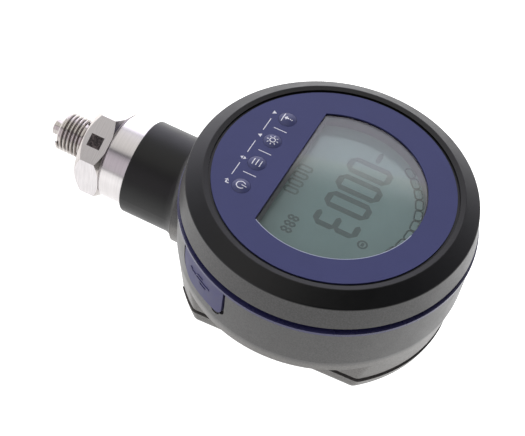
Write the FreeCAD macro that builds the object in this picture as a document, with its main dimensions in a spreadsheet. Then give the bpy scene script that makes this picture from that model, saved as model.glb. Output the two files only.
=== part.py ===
import FreeCAD, Part
import math
import os
import Sketcher

doc = FreeCAD.newDocument("digital_pressure_gauge")
sheet = doc.addObject("Spreadsheet::Sheet", "Sizes")
aliases = []
volumes = {}
nodes = []


class Size:
    # a number together with the sheet expression that gives it
    def __init__(self, text, number):
        self.text = text
        self.number = number

    def __add__(self, other):
        other = as_size(other)
        return Size("(%s + %s)" % (self.text, other.text), self.number + other.number)

    def __sub__(self, other):
        other = as_size(other)
        return Size("(%s - %s)" % (self.text, other.text), self.number - other.number)

    def __mul__(self, other):
        other = as_size(other)
        return Size("(%s * %s)" % (self.text, other.text), self.number * other.number)

    def __truediv__(self, other):
        other = as_size(other)
        return Size("(%s / %s)" % (self.text, other.text), self.number / other.number)

    def __neg__(self):
        return Size("(0 - %s)" % self.text, -self.number)

    def __radd__(self, other):
        return as_size(other) + self

    def __rsub__(self, other):
        return as_size(other) - self

    def __rmul__(self, other):
        return as_size(other) * self


def as_size(value):
    if isinstance(value, Size):
        return value
    return Size("%.6f" % value, float(value))


def root(value):
    return Size("sqrt(%s)" % value.text, math.sqrt(value.number))


def sine(value):
    return Size("sin(%s)" % value.text, math.sin(math.radians(value.number)))


def cosine(value):
    return Size("cos(%s)" % value.text, math.cos(math.radians(value.number)))


def size(alias, number, note):
    aliases.append(alias)
    row = len(aliases)
    sheet.set("A%d" % row, note)
    sheet.set("B%d" % row, str(number))
    sheet.setAlias("B%d" % row, alias)
    return Size("Sizes." + alias, float(number))


# head, heights above the resting plane of the battery cover
lip_top = size("lip_top", 47.5, "bezel lip height")
rear_top = size("rear_top", 33.7, "upper edge of the rear case")
rear_rad = size("rear_rad", 45.85, "radius at that edge")
ring_high = size("ring_high", 2.9, "blue ring between the two cases")
front_step = size("front_step", 0.25, "front case edge in from the rear case edge")
edge_in = size("edge_in", 1.1, "bezel edge in from the front case edge")
bezel_rise = size("bezel_rise", 3.0, "bezel lip above the bezel edge")
bezel_run = size("bezel_run", 4.85, "bezel lip in from the bezel edge")
lip_fall = size("lip_fall", 0.25, "fall of the bezel lip towards the foil")
lip_flat = size("lip_flat", 1.65, "width of the flat bezel lip")
wall_mid = size("wall_mid", 18.5, "height where the skirt taper starts")
wall_in = size("wall_in", 0.75, "wall there in from the upper edge")
skirt_in = size("skirt_in", 3.15, "skirt at the resting plane in from the wall")
lobe_floor = size("lobe_floor", 14.0, "underside of the two side lobes")
case_wall = size("case_wall", 3.25, "rear case wall at its upper edge")
ring_step = size("ring_step", 1.25, "depth of the groove in the ring behind the front edge")
ring_lip = size("ring_lip", 0.9, "thickness of the ring lip")
lip_out = size("lip_out", 0.25, "ring lip beyond the rear case edge")
spigot_len = size("spigot_len", 4.2, "front case spigot below its edge")
spigot_wall = size("spigot_wall", 2.0, "spigot wall")
slack = size("slack", 0.2, "play between parts that drop into each other")

# foil, window, display
foil_thick = size("foil_thick", 0.5, "keypad foil thickness")
foil_drop = size("foil_drop", 0.4, "foil below the bezel lip")
foil_gap = size("foil_gap", 0.9, "shadow gap between foil and bezel lip")
deck_thick = size("deck_thick", 2.6, "front case deck")
view_rad = size("view_rad", 28.3, "radius of the viewing opening")
view_chord = size("view_chord", 14.4, "chord of the opening, towards the stem")
pane_thick = size("pane_thick", 0.8, "window pane")
pane_lap = size("pane_lap", 2.8, "pane beyond the opening")
frame_wall = size("frame_wall", 1.3, "display frame wall")
frame_skirt = size("frame_skirt", 2.1, "display frame skirt beyond the wall")
lcd_depth = size("lcd_depth", 5.5, "display face below the foil")
lcd_thick = size("lcd_thick", 2.4, "display cell")
light_thick = size("light_thick", 2.8, "light guide")
board_thick = size("board_thick", 1.6, "circuit boards")
board_in = size("board_in", 5.4, "main board in from the cavity wall")
board_hole_x = size("board_hole_x", 23.5, "main board screws, across")
board_hole_y = size("board_hole_y", 26.5, "main board screws, along")

# keys
key_row = size("key_row", 23.5, "key row towards the stem")
key_pitch = size("key_pitch", 10.4, "spacing of the keys")
key_rad = size("key_rad", 2.8, "key radius")
key_fit = size("key_fit", 0.08, "radial play of a key in its guide")
key_rise = size("key_rise", 0.6, "dome above the foil")
key_guide = size("key_guide", 3.0, "guide tube below the deck")
key_travel = size("key_travel", 0.5, "key travel")

# battery bay and cover
bay_in = size("bay_in", 8.68, "sides of the bay block in from the skirt, across the head axis")
bay_slope = size("bay_slope", 0.0491, "narrowing of the bay block away from the stem")
cover_top = size("cover_top", 4.4, "battery cover height")
cover_gap = size("cover_gap", 1.6, "parting groove above the cover")
cover_out = size("cover_out", 0.45, "round edge of the cover beyond the case edge")
cover_reach = size("cover_reach", 11.0, "front edge of the cover beyond the bay")
cover_floor = size("cover_floor", 2.0, "battery cover floor")
bay_round = size("bay_round", 2.6, "rounding of the upright corners of bay block and cover")
cover_edge = size("cover_edge", 2.2, "rounding of the cover")
cell_rad = size("cell_rad", 7.25, "cell radius")
cell_len = size("cell_len", 50.5, "cell length with its button")
cell_gap = size("cell_gap", 0.7, "gap between cells and to the bay walls")
cell_mid = size("cell_mid", 1.5, "middle cell from the head axis")
cell_low = size("cell_low", 4.2, "underside of the cells")
cell_head = size("cell_head", 0.3, "gap above the cells")
spring_room = size("spring_room", 6.3, "bay length beyond the cell")
bay_shell = size("bay_shell", 2.0, "bay ceiling and walls")
plate_thick = size("plate_thick", 0.5, "battery contact sheet")

# screws
case_screw_in = size("case_screw_in", 5.4, "case screws in from the cavity wall")
case_screw_y = size("case_screw_y", 9.0, "case screws, along")
case_seat = size("case_seat", 26.0, "case screw head seat")
case_joint = size("case_joint", 31.0, "height where the screw bosses meet")
screw_rad = size("screw_rad", 1.5, "case and cover screw shank")
screw_head = size("screw_head", 2.6, "case and cover screw head radius")
cover_screw_in = size("cover_screw_in", 6.66, "cover screws in from the round edge of the cover")
cover_screw_far_x = size("cover_screw_far_x", 17.5, "far cover screws from the middle")
cover_screw_near = size("cover_screw_near", 5.5, "near cover screws in from the front edge")
small_screw = size("small_screw", 1.0, "board screw shank")

# neck and process fitting
stem_top = size("stem_top", 15.9, "stem axis above the resting plane")
neck_rad = size("neck_rad", 15.6, "neck radius")
neck_len = size("neck_len", 18.4, "neck end face beyond the case wall")
neck_bore = size("neck_bore", 11.05, "bearing bore in the neck")
neck_fit = size("neck_fit", 0.05, "radial play of the bearing")
bearing_len = size("bearing_len", 13.0, "length of the bearing bore")
room_step = size("room_step", 1.95, "sensor room beyond the bearing bore")
room_len = size("room_len", 14.5, "length of the sensor room")
flare_rad = size("flare_rad", 4.0, "root radius of the neck")
collar_rad = size("collar_rad", 13.9, "polished collar")
hex_flats = size("hex_flats", 27.0, "width across flats")
hex_turn = size("hex_turn", 2.15, "turn of the hexagon")
collar_len = size("collar_len", 8.9, "collar between neck and hexagon")
hex_len = size("hex_len", 8.8, "hexagon length")
relief_wide = size("relief_wide", 0.6, "width of the tool relief between hexagon and collar")
relief_deep = size("relief_deep", 1.1, "depth of the tool relief below the collar")
thread_rad = size("thread_rad", 6.579, "thread outside radius, quarter inch pipe")
thread_len = size("thread_len", 11.2, "thread with its relief")
relief_rad = size("relief_rad", 5.4, "thread relief radius")
relief_len = size("relief_len", 3.2, "thread relief length")
tip_rad = size("tip_rad", 2.6, "spigot radius")
tip_len = size("tip_len", 3.3, "spigot length")
port_bore = size("port_bore", 1.5, "pressure channel")
nose_rad = size("nose_rad", 9.0, "sensor nose radius")
nose_len = size("nose_len", 5.0, "sensor nose beyond the bearing")
sensor_len = size("sensor_len", 5.4, "sensor cell length")

# service port
port_turn = size("port_turn", -29.9, "direction of the port from the across axis")
port_mid = size("port_mid", 29.4, "port height")
flap_span = size("flap_span", 26.0, "angle the flap covers")
flap_low = size("flap_low", 22.6, "lower edge of the flap")
flap_top = size("flap_top", 33.1, "upper edge of the flap")
flap_thick = size("flap_thick", 1.5, "flap panel")
flap_gap = size("flap_gap", 0.2, "gap below the flap")
flap_side = size("flap_side", 0.9, "gaps beside the flap")
flap_wide_round = size("flap_wide_round", 7.0, "rounding of the corner towards the stem")
flap_small_round = size("flap_small_round", 2.4, "rounding of the other corner")
port_wide = size("port_wide", 9.0, "socket width")
port_high = size("port_high", 3.3, "socket height")
port_deep = size("port_deep", 7.5, "socket depth")
doc.recompute()

# heights and radii that follow from the sheet
edge_top = lip_top - bezel_rise
front_low = rear_top + ring_high
ring_top = rear_top + ring_lip
front_rad = rear_rad - front_step
edge_rad = front_rad - edge_in
lip_rad = edge_rad - bezel_run
recess_rad = lip_rad - lip_flat
foil_rad = recess_rad - foil_gap
wall_rad = rear_rad - wall_in
skirt_rad = wall_rad - skirt_in
bay_half = skirt_rad - bay_in
foil_top = lip_top - foil_drop
deck_top = foil_top - foil_thick
deck_low = deck_top - deck_thick
pane_low = deck_top - pane_thick
lcd_top = foil_top - lcd_depth
lcd_low = lcd_top - lcd_thick
board_top = lcd_low - slack - light_thick - slack
board_low = board_top - board_thick
cavity_rad = rear_rad - case_wall
board_rad = cavity_rad - board_in
case_screw_x = cavity_rad - case_screw_in
sensor_room = neck_bore + room_step
journal = neck_bore - neck_fit
cell_pitch = 2 * cell_rad + cell_gap
cell_ys = [cell_mid - cell_pitch, cell_mid, cell_mid + cell_pitch]
bay_wide = cell_len + spring_room
bay_roof = cell_low + 2 * cell_rad + cell_head
bay_low_y = cell_mid - 1.5 * cell_pitch - cell_gap
bay_high_y = cell_mid + 1.5 * cell_pitch + cell_gap
cover_front = cover_reach - bay_low_y
spigot_rad = cavity_rad - slack
spigot_low = front_low - spigot_len
cavity_floor = lobe_floor + 3.0
cover_split = cover_top + cover_gap
heel_low = stem_top - neck_rad
skirt_slope = (wall_rad - skirt_rad) / wall_mid

# distances from the head axis towards the thread
neck_end = wall_rad + neck_len
neck_seat = neck_end - bearing_len
sensor_wall = neck_seat - room_len
nose_end = neck_seat - nose_len
hex_back = neck_end + collar_len
hex_front = hex_back + hex_len
thread_tip = hex_front + thread_len
tip_end = thread_tip + tip_len

# places of what repeats
key_xs = {
    "key_zero": -1.5 * key_pitch,
    "key_light": -0.5 * key_pitch,
    "key_menu": 0.5 * key_pitch,
    "key_power": 1.5 * key_pitch,
}
case_screws_at = [(sx * case_screw_x, sy * case_screw_y) for sx in (1, -1) for sy in (1, -1)]
board_screws_at = [(sx * board_hole_x, sy * board_hole_y) for sx in (1, -1) for sy in (1, -1)]
cover_rad = skirt_rad + skirt_slope * cover_top
screw_circle = cover_rad - cover_screw_in
cover_far_y = root(screw_circle * screw_circle - cover_screw_far_x * cover_screw_far_x)
cover_near_y = cover_front - cover_screw_near
cover_near_x = root(screw_circle * screw_circle - cover_near_y * cover_near_y)
cover_screws_at = [
    (cover_screw_far_x, cover_far_y),
    (-cover_screw_far_x, cover_far_y),
    (cover_near_x, -cover_near_y),
    (-cover_near_x, -cover_near_y),
]


def bind(item, path, value):
    item.setExpression(path, as_size(value).text)


def settle(owner, item, sign):
    # every additive step must add volume and every cut must take some away
    doc.recompute()
    before = volumes.get(owner.Name, 0.0)
    now = owner.Shape.Volume
    if (now - before) * sign <= 0.001:
        raise RuntimeError("%s changed the volume the wrong way" % item.Name)
    volumes[owner.Name] = now
    return item


def body(label):
    item = doc.addObject("PartDesign::Body", label)
    nodes.append(item)
    return item


def plane(owner, role):
    for item in owner.Origin.OriginFeatures:
        if item.Role == role:
            return item


def sketch(owner, role, lift=0, turn=None):
    item = owner.newObject("Sketcher::SketchObject", owner.Name + "_sketch")
    item.AttachmentSupport = [(plane(owner, role), "")]
    item.MapMode = "FlatFace"
    if turn is not None:
        item.AttachmentOffset = FreeCAD.Placement(
            FreeCAD.Vector(0, 0, 0), FreeCAD.Rotation(FreeCAD.Vector(0, 1, 0), turn.number))
        bind(item, "AttachmentOffset.Rotation.Angle", turn)
    bind(item, "AttachmentOffset.Base.z", lift)
    return item


def loose_sketch(name, lift):
    item = doc.addObject("Sketcher::SketchObject", name)
    bind(item, "Placement.Base.z", lift)
    return item


def pin(item, kind, geometry, point, value):
    if not isinstance(value, Size) and value == 0:
        axis = -2 if kind == "DistanceX" else -1
        item.addConstraint(Sketcher.Constraint("PointOnObject", geometry, point, axis))
        return
    value = as_size(value)
    place = item.addConstraint(Sketcher.Constraint(kind, -1, 1, geometry, point, value.number))
    item.setExpression("Constraints[%d]" % place, value.text)


def outline(item, corners):
    # closed outline, a corner may carry the radius of an arc to the next corner
    # a positive radius turns left, a negative one turns right
    spots = [FreeCAD.Vector(as_size(c[0]).number, as_size(c[1]).number, 0) for c in corners]
    count = len(corners)
    pieces = []
    for i in range(count):
        start = spots[i]
        end = spots[(i + 1) % count]
        if len(corners[i]) == 2:
            made = item.addGeometry(Part.LineSegment(start, end), False)
            pieces.append((made, 1, 2))
            continue
        bow = as_size(corners[i][2])
        reach = abs(bow.number)
        left = 1 if bow.number > 0 else -1
        run = end - start
        half = run.Length / 2
        out = math.sqrt(max(reach * reach - half * half, 0.0))
        side = FreeCAD.Vector(-run.y, run.x, 0)
        side.normalize()
        middle = (start + end) * 0.5 + side * (out * left)
        first, last = (start, end) if left > 0 else (end, start)
        a = math.atan2(first.y - middle.y, first.x - middle.x)
        b = math.atan2(last.y - middle.y, last.x - middle.x)
        whole = Part.Circle(middle, FreeCAD.Vector(0, 0, 1), reach)
        made = item.addGeometry(Part.ArcOfCircle(whole, a, b), False)
        pieces.append((made, 1, 2) if left > 0 else (made, 2, 1))
        size_of = bow if left > 0 else -bow
        place = item.addConstraint(Sketcher.Constraint("Radius", made, size_of.number))
        item.setExpression("Constraints[%d]" % place, size_of.text)
    for i in range(count):
        here = pieces[i]
        then = pieces[(i + 1) % count]
        item.addConstraint(Sketcher.Constraint("Coincident", here[0], here[2], then[0], then[1]))
        pin(item, "DistanceX", here[0], here[1], corners[i][0])
        pin(item, "DistanceY", here[0], here[1], corners[i][1])


def circle(item, x, y, radius):
    radius = as_size(radius)
    middle = FreeCAD.Vector(as_size(x).number, as_size(y).number, 0)
    made = item.addGeometry(Part.Circle(middle, FreeCAD.Vector(0, 0, 1), radius.number), False)
    pin(item, "DistanceX", made, 3, x)
    pin(item, "DistanceY", made, 3, y)
    place = item.addConstraint(Sketcher.Constraint("Radius", made, radius.number))
    item.setExpression("Constraints[%d]" % place, radius.text)


def rectangle(item, left, low, right, high):
    outline(item, [(left, low), (right, low), (right, high), (left, high)])


def view_outline(item, extra):
    # circle cut by a straight edge towards the stem, grown by extra on every side
    radius = view_rad + extra
    chord = view_chord + extra
    half = root(radius * radius - chord * chord)
    outline(item, [(half, -chord, radius), (0, radius, radius), (-half, -chord)])


def side_at(y, inset):
    return bay_half - inset - bay_slope * y


def corner_y(radius, inset, sign):
    # height where the slanted side meets the circle
    near = bay_half - inset
    scale = 1 + bay_slope * bay_slope
    part = bay_slope * near
    return (part + sign * root(part * part - scale * (near * near - radius * radius))) / scale


def bay_outline(item, radius, inset):
    far = corner_y(radius, inset, 1)
    near = corner_y(radius, inset, -1)
    front = -(cover_front - inset)
    wing = root(radius * radius - front * front)
    outline(item, [
        (side_at(far, inset), far, radius),
        (-side_at(far, inset), far),
        (-side_at(near, inset), near, radius),
        (-wing, front),
        (wing, front, radius),
        (side_at(near, inset), near),
    ])


def extruded(owner, kind, profile, length, sign, both, back):
    item = owner.newObject("PartDesign::" + kind, owner.Name + "_" + kind.lower())
    item.Profile = profile
    bind(item, "Length", length)
    item.SideType = "Symmetric" if both else "One side"
    item.Reversed = back
    return settle(owner, item, sign)


def pad(owner, profile, length, both=False, back=False):
    return extruded(owner, "Pad", profile, length, 1, both, back)


def pocket(owner, profile, length, both=False, back=False):
    return extruded(owner, "Pocket", profile, length, -1, both, back)


def turned(owner, kind, profile, sign, angle):
    item = owner.newObject("PartDesign::" + kind, owner.Name + "_" + kind.lower())
    item.Profile = profile
    item.ReferenceAxis = (profile, ["V_Axis"])
    if angle is None:
        item.Angle = 360
    else:
        item.Midplane = True
        bind(item, "Angle", angle)
    return settle(owner, item, sign)


def revolve(owner, profile, angle=None):
    return turned(owner, "Revolution", profile, 1, angle)


def groove(owner, profile, angle=None):
    return turned(owner, "Groove", profile, -1, angle)


def fillet(owner, radius, chosen):
    base = owner.Tip
    names = []
    for number, edge in enumerate(base.Shape.Edges):
        if chosen(edge):
            names.append("Edge%d" % (number + 1))
    if not names:
        raise RuntimeError("no edge to round on " + owner.Name)
    item = owner.newObject("PartDesign::Fillet", owner.Name + "_fillet")
    item.Base = (base, names)
    bind(item, "Radius", radius)
    doc.recompute()
    if "Invalid" in item.State:
        raise RuntimeError("%s could not be rounded" % owner.Name)
    volumes[owner.Name] = owner.Shape.Volume
    return item


def middle_of(edge):
    return edge.valueAt((edge.FirstParameter + edge.LastParameter) / 2)


def bay_corner(edge, top):
    # upright edges where the slanted sides meet the round skirt
    box = edge.BoundBox
    upright = box.ZLength > 3 and box.XLength < 3 and box.YLength < 6
    spot = middle_of(edge)
    return upright and box.ZMax < top + 0.01 and abs(spot.x) > 28


def level_circle(edge, height, radius):
    spot = middle_of(edge)
    level = abs(edge.BoundBox.ZLength) < 0.001 and abs(spot.z - height.number) < 0.01
    return level and abs(math.hypot(spot.x, spot.y) - radius.number) < 0.05


def extrusion(name, profile, length, back=False):
    item = doc.addObject("Part::Extrusion", name)
    item.Base = profile
    item.DirMode = "Custom"
    item.Dir = FreeCAD.Vector(0, 0, -1 if back else 1)
    bind(item, "LengthFwd", length)
    item.Solid = True
    return item


def screws(label, places, seat, head_rad, head_len, shank_rad, shank_len, shank_up):
    # round head below or above the seat, shank the other way
    heads = loose_sketch(label + "_head_sketch", seat)
    shanks = loose_sketch(label + "_shank_sketch", seat)
    for x, y in places:
        circle(heads, x, y, head_rad)
        circle(shanks, x, y, shank_rad)
    head = extrusion(label + "_heads", heads, head_len, shank_up)
    shank = extrusion(label + "_shanks", shanks, shank_len, not shank_up)
    item = doc.addObject("Part::MultiFuse", label)
    item.Shapes = [head, shank]
    item.Refine = True
    nodes.append(item)
    return item


def box(label, corner, lengths, turn=None):
    item = doc.addObject("Part::Box", label)
    for name, value in zip(("Length", "Width", "Height"), lengths):
        bind(item, name, value)
    if turn is not None:
        item.Placement = FreeCAD.Placement(
            FreeCAD.Vector(0, 0, 0), FreeCAD.Rotation(FreeCAD.Vector(0, 0, 1), turn.number))
        bind(item, "Placement.Rotation.Angle", turn)
    for name, value in zip(("x", "y", "z"), corner):
        bind(item, "Placement.Base." + name, value)
    nodes.append(item)
    return item


def out_at(along, across):
    # point in the plan seen along the port direction
    x = along * cosine(port_turn) - across * sine(port_turn)
    y = along * sine(port_turn) + across * cosine(port_turn)
    return x, y


# rear case with its neck, side lobes, bay and heel
rear = body("rear_case")
profile = sketch(rear, "XZ_Plane")
outline(profile, [
    (0, heel_low),
    (skirt_rad + skirt_slope * heel_low, heel_low),
    (wall_rad, wall_mid),
    (rear_rad, rear_top),
    (0, rear_top),
])
revolve(rear, profile)
reach = 60.0
sides = sketch(rear, "XY_Plane", lobe_floor)
for sign in (1, -1):
    outline(sides, [
        (sign * side_at(-reach, 0), -reach),
        (sign * reach, -reach),
        (sign * reach, reach),
        (sign * side_at(reach, 0), reach),
    ])
pocket(rear, sides, lobe_floor)
fillet(rear, bay_round, lambda edge: bay_corner(edge, lobe_floor.number))
seat = sketch(rear, "XY_Plane", cover_split)
rectangle(seat, -reach, -(cover_front + slack), reach, reach)
pocket(rear, seat, cover_split)
neck = sketch(rear, "XZ_Plane", neck_end)
circle(neck, 0, stem_top, neck_rad)
pad(rear, neck, neck_end - cover_front - slack, back=True)
flare = sketch(rear, "XY_Plane", stem_top)
flare_start = -(wall_rad + 2.6)
flare_end = flare_start + flare_rad * 0.85
flare_out = neck_rad + flare_rad * (1 - math.sqrt(1 - 0.7225))
outline(flare, [
    (0, flare_start),
    (neck_rad, flare_start, -flare_rad),
    (flare_out, flare_end),
    (flare_out, -(cover_front + slack)),
    (0, -(cover_front + slack)),
])
revolve(rear, flare)
under = sketch(rear, "XY_Plane", heel_low)
rectangle(under, -reach, -reach, reach, -cover_front)
pocket(rear, under, 2 * flare_rad)
cavity = sketch(rear, "XZ_Plane")
outline(cavity, [(0, cavity_floor), (cavity_rad, cavity_floor), (cavity_rad, rear_top), (0, rear_top)])
groove(rear, cavity)
hollow = sketch(rear, "XY_Plane", cavity_floor)
rectangle(hollow, -12.0, bay_high_y + bay_shell, 12.0, skirt_rad - 4.4)
pocket(rear, hollow, cavity_floor - cover_split - 2.5)
roof = sketch(rear, "XY_Plane", cavity_floor)
rectangle(roof, -(bay_wide / 2 + bay_shell), bay_low_y - bay_shell,
          bay_wide / 2 + bay_shell, bay_high_y + bay_shell)
pad(rear, roof, bay_roof + bay_shell - cavity_floor)
posts = sketch(rear, "XY_Plane", cavity_floor - 0.5)
post_along = cavity_rad - 11.4
post_across = 3.8
for sign in (1, -1):
    x, y = out_at(post_along, sign * post_across)
    circle(posts, x, y, 2.3)
port_board_low = port_mid - port_high / 2 - board_thick
pad(rear, posts, port_board_low - cavity_floor + 0.5)
bay = sketch(rear, "XY_Plane", cover_split)
rectangle(bay, -(bay_wide / 2), bay_low_y, bay_wide / 2, bay_high_y)
pocket(rear, bay, bay_roof - cover_split, back=True)
bore = sketch(rear, "XZ_Plane", neck_end)
circle(bore, 0, stem_top, neck_bore)
pocket(rear, bore, neck_end - neck_seat)
room = sketch(rear, "XZ_Plane", neck_seat)
circle(room, 0, stem_top, sensor_room)
pocket(rear, room, neck_seat - sensor_wall)
stop = sketch(rear, "XZ_Plane", nose_end + 3.4)
rectangle(stop, -1.7, stem_top - sensor_room - 0.6, 1.7, stem_top - journal)
pad(rear, stop, 3.0, back=True)
bosses = sketch(rear, "XY_Plane", cavity_floor)
for x, y in case_screws_at:
    circle(bosses, x, y, screw_head + 2.2)
pad(rear, bosses, case_joint - cavity_floor)
sinks = sketch(rear, "XY_Plane", lobe_floor)
for x, y in case_screws_at:
    circle(sinks, x, y, screw_head + 0.3)
pocket(rear, sinks, case_seat - lobe_floor, back=True)
holes = sketch(rear, "XY_Plane", case_seat)
for x, y in case_screws_at:
    circle(holes, x, y, screw_rad + slack)
pocket(rear, holes, case_joint - case_seat, back=True)
pilots = sketch(rear, "XY_Plane", cover_split)
for x, y in cover_screws_at:
    circle(pilots, x, y, screw_rad + 0.03)
pocket(rear, pilots, 9.5, back=True)
wires = sketch(rear, "XY_Plane", bay_roof + bay_shell)
wire_x = bay_wide / 2 - 1.6
for sign in (1, -1):
    circle(wires, sign * wire_x, cell_ys[2], 0.9)
pocket(rear, wires, bay_shell)
flap_recess = sketch(rear, "XZ_Plane", 0, port_turn)
flap_in = rear_rad - 0.1 - flap_thick
rectangle(flap_recess, flap_in - 0.1, flap_low - flap_gap, reach, rear_top)
gap_angle = 2 * (flap_side / rear_rad) * 57.29578
groove(rear, flap_recess, flap_span + gap_angle)


def recess_corner(turn_from_port):
    def test(edge):
        spot = middle_of(edge)
        if abs(spot.z - (flap_low - flap_gap).number) > 0.01 or edge.Length > 3:
            return False
        here = math.degrees(math.atan2(spot.y, spot.x))
        return abs(here - port_turn.number - turn_from_port) < 0.3
    return test


half_gap = (flap_span + gap_angle).number / 2
fillet(rear, flap_wide_round - 2.0, recess_corner(-half_gap))
fillet(rear, flap_small_round - 0.6, recess_corner(half_gap))
opening = sketch(rear, "XZ_Plane", 0, port_turn)
rectangle(opening, cavity_rad - 1.5, port_mid - port_high / 2 - 1.2,
          reach, port_mid + port_high / 2 + 0.9)
pocket(rear, opening, port_wide + 2.2, both=True)
post_holes = sketch(rear, "XY_Plane", port_board_low)
for sign in (1, -1):
    x, y = out_at(post_along, sign * post_across)
    circle(post_holes, x, y, small_screw + 0.03)
pocket(rear, post_holes, 4.5)
nail = rear.newObject("PartDesign::SubtractiveSphere", "rear_case_nail_notch")
bind(nail, "Radius", 1.9)
x, y = out_at(wall_rad - 0.2, 7.6)
bind(nail, "Placement.Base.x", x)
bind(nail, "Placement.Base.y", y)
bind(nail, "Placement.Base.z", flap_low - 0.1)
settle(rear, nail, -1)
fillet(rear, 0.5, lambda edge: abs(edge.BoundBox.YLength) < 0.001
       and abs(middle_of(edge).y + neck_end.number) < 0.01
       and edge.BoundBox.XLength > 2 * neck_bore.number + 1)

# front case with bezel, deck, spigot, key guides and bosses
front = body("front_case")
profile = sketch(front, "XZ_Plane")
outline(profile, [
    (0, deck_low),
    (spigot_rad - spigot_wall - 1.9, deck_low),
    (spigot_rad - spigot_wall, deck_low - 3.0),
    (spigot_rad - spigot_wall, spigot_low),
    (spigot_rad, spigot_low),
    (spigot_rad, front_low),
    (front_rad, front_low),
    (edge_rad, edge_top),
    (lip_rad, lip_top),
    (recess_rad, lip_top - lip_fall),
    (recess_rad, deck_top),
    (0, deck_top),
])
revolve(front, profile)
fillet(front, 0.5, lambda edge: level_circle(edge, edge_top, edge_rad))
fillet(front, 0.4, lambda edge: level_circle(edge, lip_top, lip_rad))
guides = sketch(front, "XY_Plane", deck_low)
for x in key_xs.values():
    circle(guides, x, -key_row, key_rad + 1.6)
pad(front, guides, key_guide, back=True)
bosses = sketch(front, "XY_Plane", deck_low)
for x, y in case_screws_at:
    circle(bosses, x, y, screw_rad + 1.8)
pad(front, bosses, deck_low - case_joint, back=True)
board_bosses = sketch(front, "XY_Plane", deck_low)
for x, y in board_screws_at:
    circle(board_bosses, x, y, small_screw + 1.6)
pad(front, board_bosses, deck_low - board_top, back=True)
pane_seat = sketch(front, "XY_Plane", deck_top)
view_outline(pane_seat, pane_lap + slack)
pocket(front, pane_seat, pane_thick)
frame_hole = sketch(front, "XY_Plane", deck_top)
view_outline(frame_hole, frame_wall + slack)
pocket(front, frame_hole, deck_thick)
key_holes = sketch(front, "XY_Plane", deck_top)
for x in key_xs.values():
    circle(key_holes, x, -key_row, key_rad + key_fit)
pocket(front, key_holes, deck_thick + key_guide)
pilots = sketch(front, "XY_Plane", case_joint)
for x, y in case_screws_at:
    circle(pilots, x, y, screw_rad + 0.03)
pocket(front, pilots, 9.0, back=True)
board_pilots = sketch(front, "XY_Plane", board_top)
for x, y in board_screws_at:
    circle(board_pilots, x, y, small_screw + 0.03)
pocket(front, board_pilots, 6.0, back=True)

# ring between the two cases
ring = body("design_ring")
profile = sketch(ring, "XZ_Plane")
outline(profile, [
    (cavity_rad, rear_top),
    (rear_rad + lip_out, rear_top),
    (rear_rad + lip_out, ring_top),
    (front_rad - ring_step, ring_top + 0.2),
    (front_rad - ring_step, front_low),
    (cavity_rad, front_low),
])
revolve(ring, profile)

# keypad foil with the viewing opening and the key holes
foil = body("keypad_foil")
disc = sketch(foil, "XY_Plane", deck_top)
circle(disc, 0, 0, foil_rad)
pad(foil, disc, foil_thick)
view = sketch(foil, "XY_Plane", foil_top)
view_outline(view, 0)
pocket(foil, view, foil_thick)
key_holes = sketch(foil, "XY_Plane", foil_top)
for x in key_xs.values():
    circle(key_holes, x, -key_row, key_rad + key_fit)
pocket(foil, key_holes, foil_thick)

# window pane under the foil
pane = body("display_window")
profile = sketch(pane, "XY_Plane", pane_low)
view_outline(profile, pane_lap)
pad(pane, profile, pane_thick)

# frame that carries the display and forms the wall below the window
frame = body("lcd_frame")
lower = sketch(frame, "XY_Plane", board_top)
view_outline(lower, frame_wall + frame_skirt)
pad(frame, lower, deck_low - slack - board_top)
upper = sketch(frame, "XY_Plane", deck_low - slack)
view_outline(upper, frame_wall)
pad(frame, upper, pane_low - deck_low + slack)
light_room = sketch(frame, "XY_Plane", board_top)
view_outline(light_room, frame_wall + slack)
pocket(frame, light_room, lcd_top - board_top, back=True)
sight = sketch(frame, "XY_Plane", pane_low)
view_outline(sight, -0.3)
pocket(frame, sight, pane_low - lcd_top)

# display cell
lcd = body("lcd_panel")
profile = sketch(lcd, "XY_Plane", lcd_low)
view_outline(profile, frame_wall)
pad(lcd, profile, lcd_thick)

# light guide behind the display, short of the contact strip
light = body("backlight_guide")
profile = sketch(light, "XY_Plane", board_top + slack)
light_rad = view_rad + frame_wall - slack
light_chord = view_chord - 2.2
light_half = root(light_rad * light_rad - light_chord * light_chord)
outline(profile, [
    (light_half, -light_chord, light_rad),
    (0, light_rad, light_rad),
    (-light_half, -light_chord),
])
pad(light, profile, light_thick)

# elastomer strip between the display and the board
box("lcd_contact_strip", (-20.0, -(view_chord + frame_wall - slack), board_top),
    (40.0, 2.4, lcd_low - board_top))

# main board with its soldered parts on the underside
main = body("main_board")
disc = sketch(main, "XY_Plane", board_low)
circle(disc, 0, 0, board_rad)
pad(main, disc, board_thick)
chips = sketch(main, "XY_Plane", board_low)
rectangle(chips, -6.0, 2.0, 6.0, 14.0)
rectangle(chips, -20.0, -4.0, -12.0, 8.0)
rectangle(chips, 13.0, 12.0, 19.0, 20.0)
pad(main, chips, 1.4, back=True)
socket_part = sketch(main, "XY_Plane", board_low)
rectangle(socket_part, -4.5, -sensor_wall + 2.0, 4.5, -sensor_wall + 6.0)
pad(main, socket_part, 2.6, back=True)
notches = sketch(main, "XY_Plane", board_top)
for x, y in case_screws_at:
    circle(notches, x, y, screw_rad + 2.6)
for x, y in board_screws_at:
    circle(notches, x, y, small_screw + 0.15)
pocket(main, notches, board_thick)

# snap domes under the keys
dome_sketch = loose_sketch("key_domes_sketch", board_top)
for x in key_xs.values():
    circle(dome_sketch, x, -key_row, 2.5)
domes = extrusion("key_domes", dome_sketch, 0.5)
domes.TaperAngle = -45
nodes.append(domes)

screws("board_screws", board_screws_at, board_low, 1.9, 1.5, small_screw, 7.4, True)
screws("case_screws", case_screws_at, case_seat, screw_head, 2.4, screw_rad, 13.5, True)
screws("battery_cover_screws", cover_screws_at, 2.5, screw_head, 2.2, screw_rad, 11.6, True)

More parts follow.
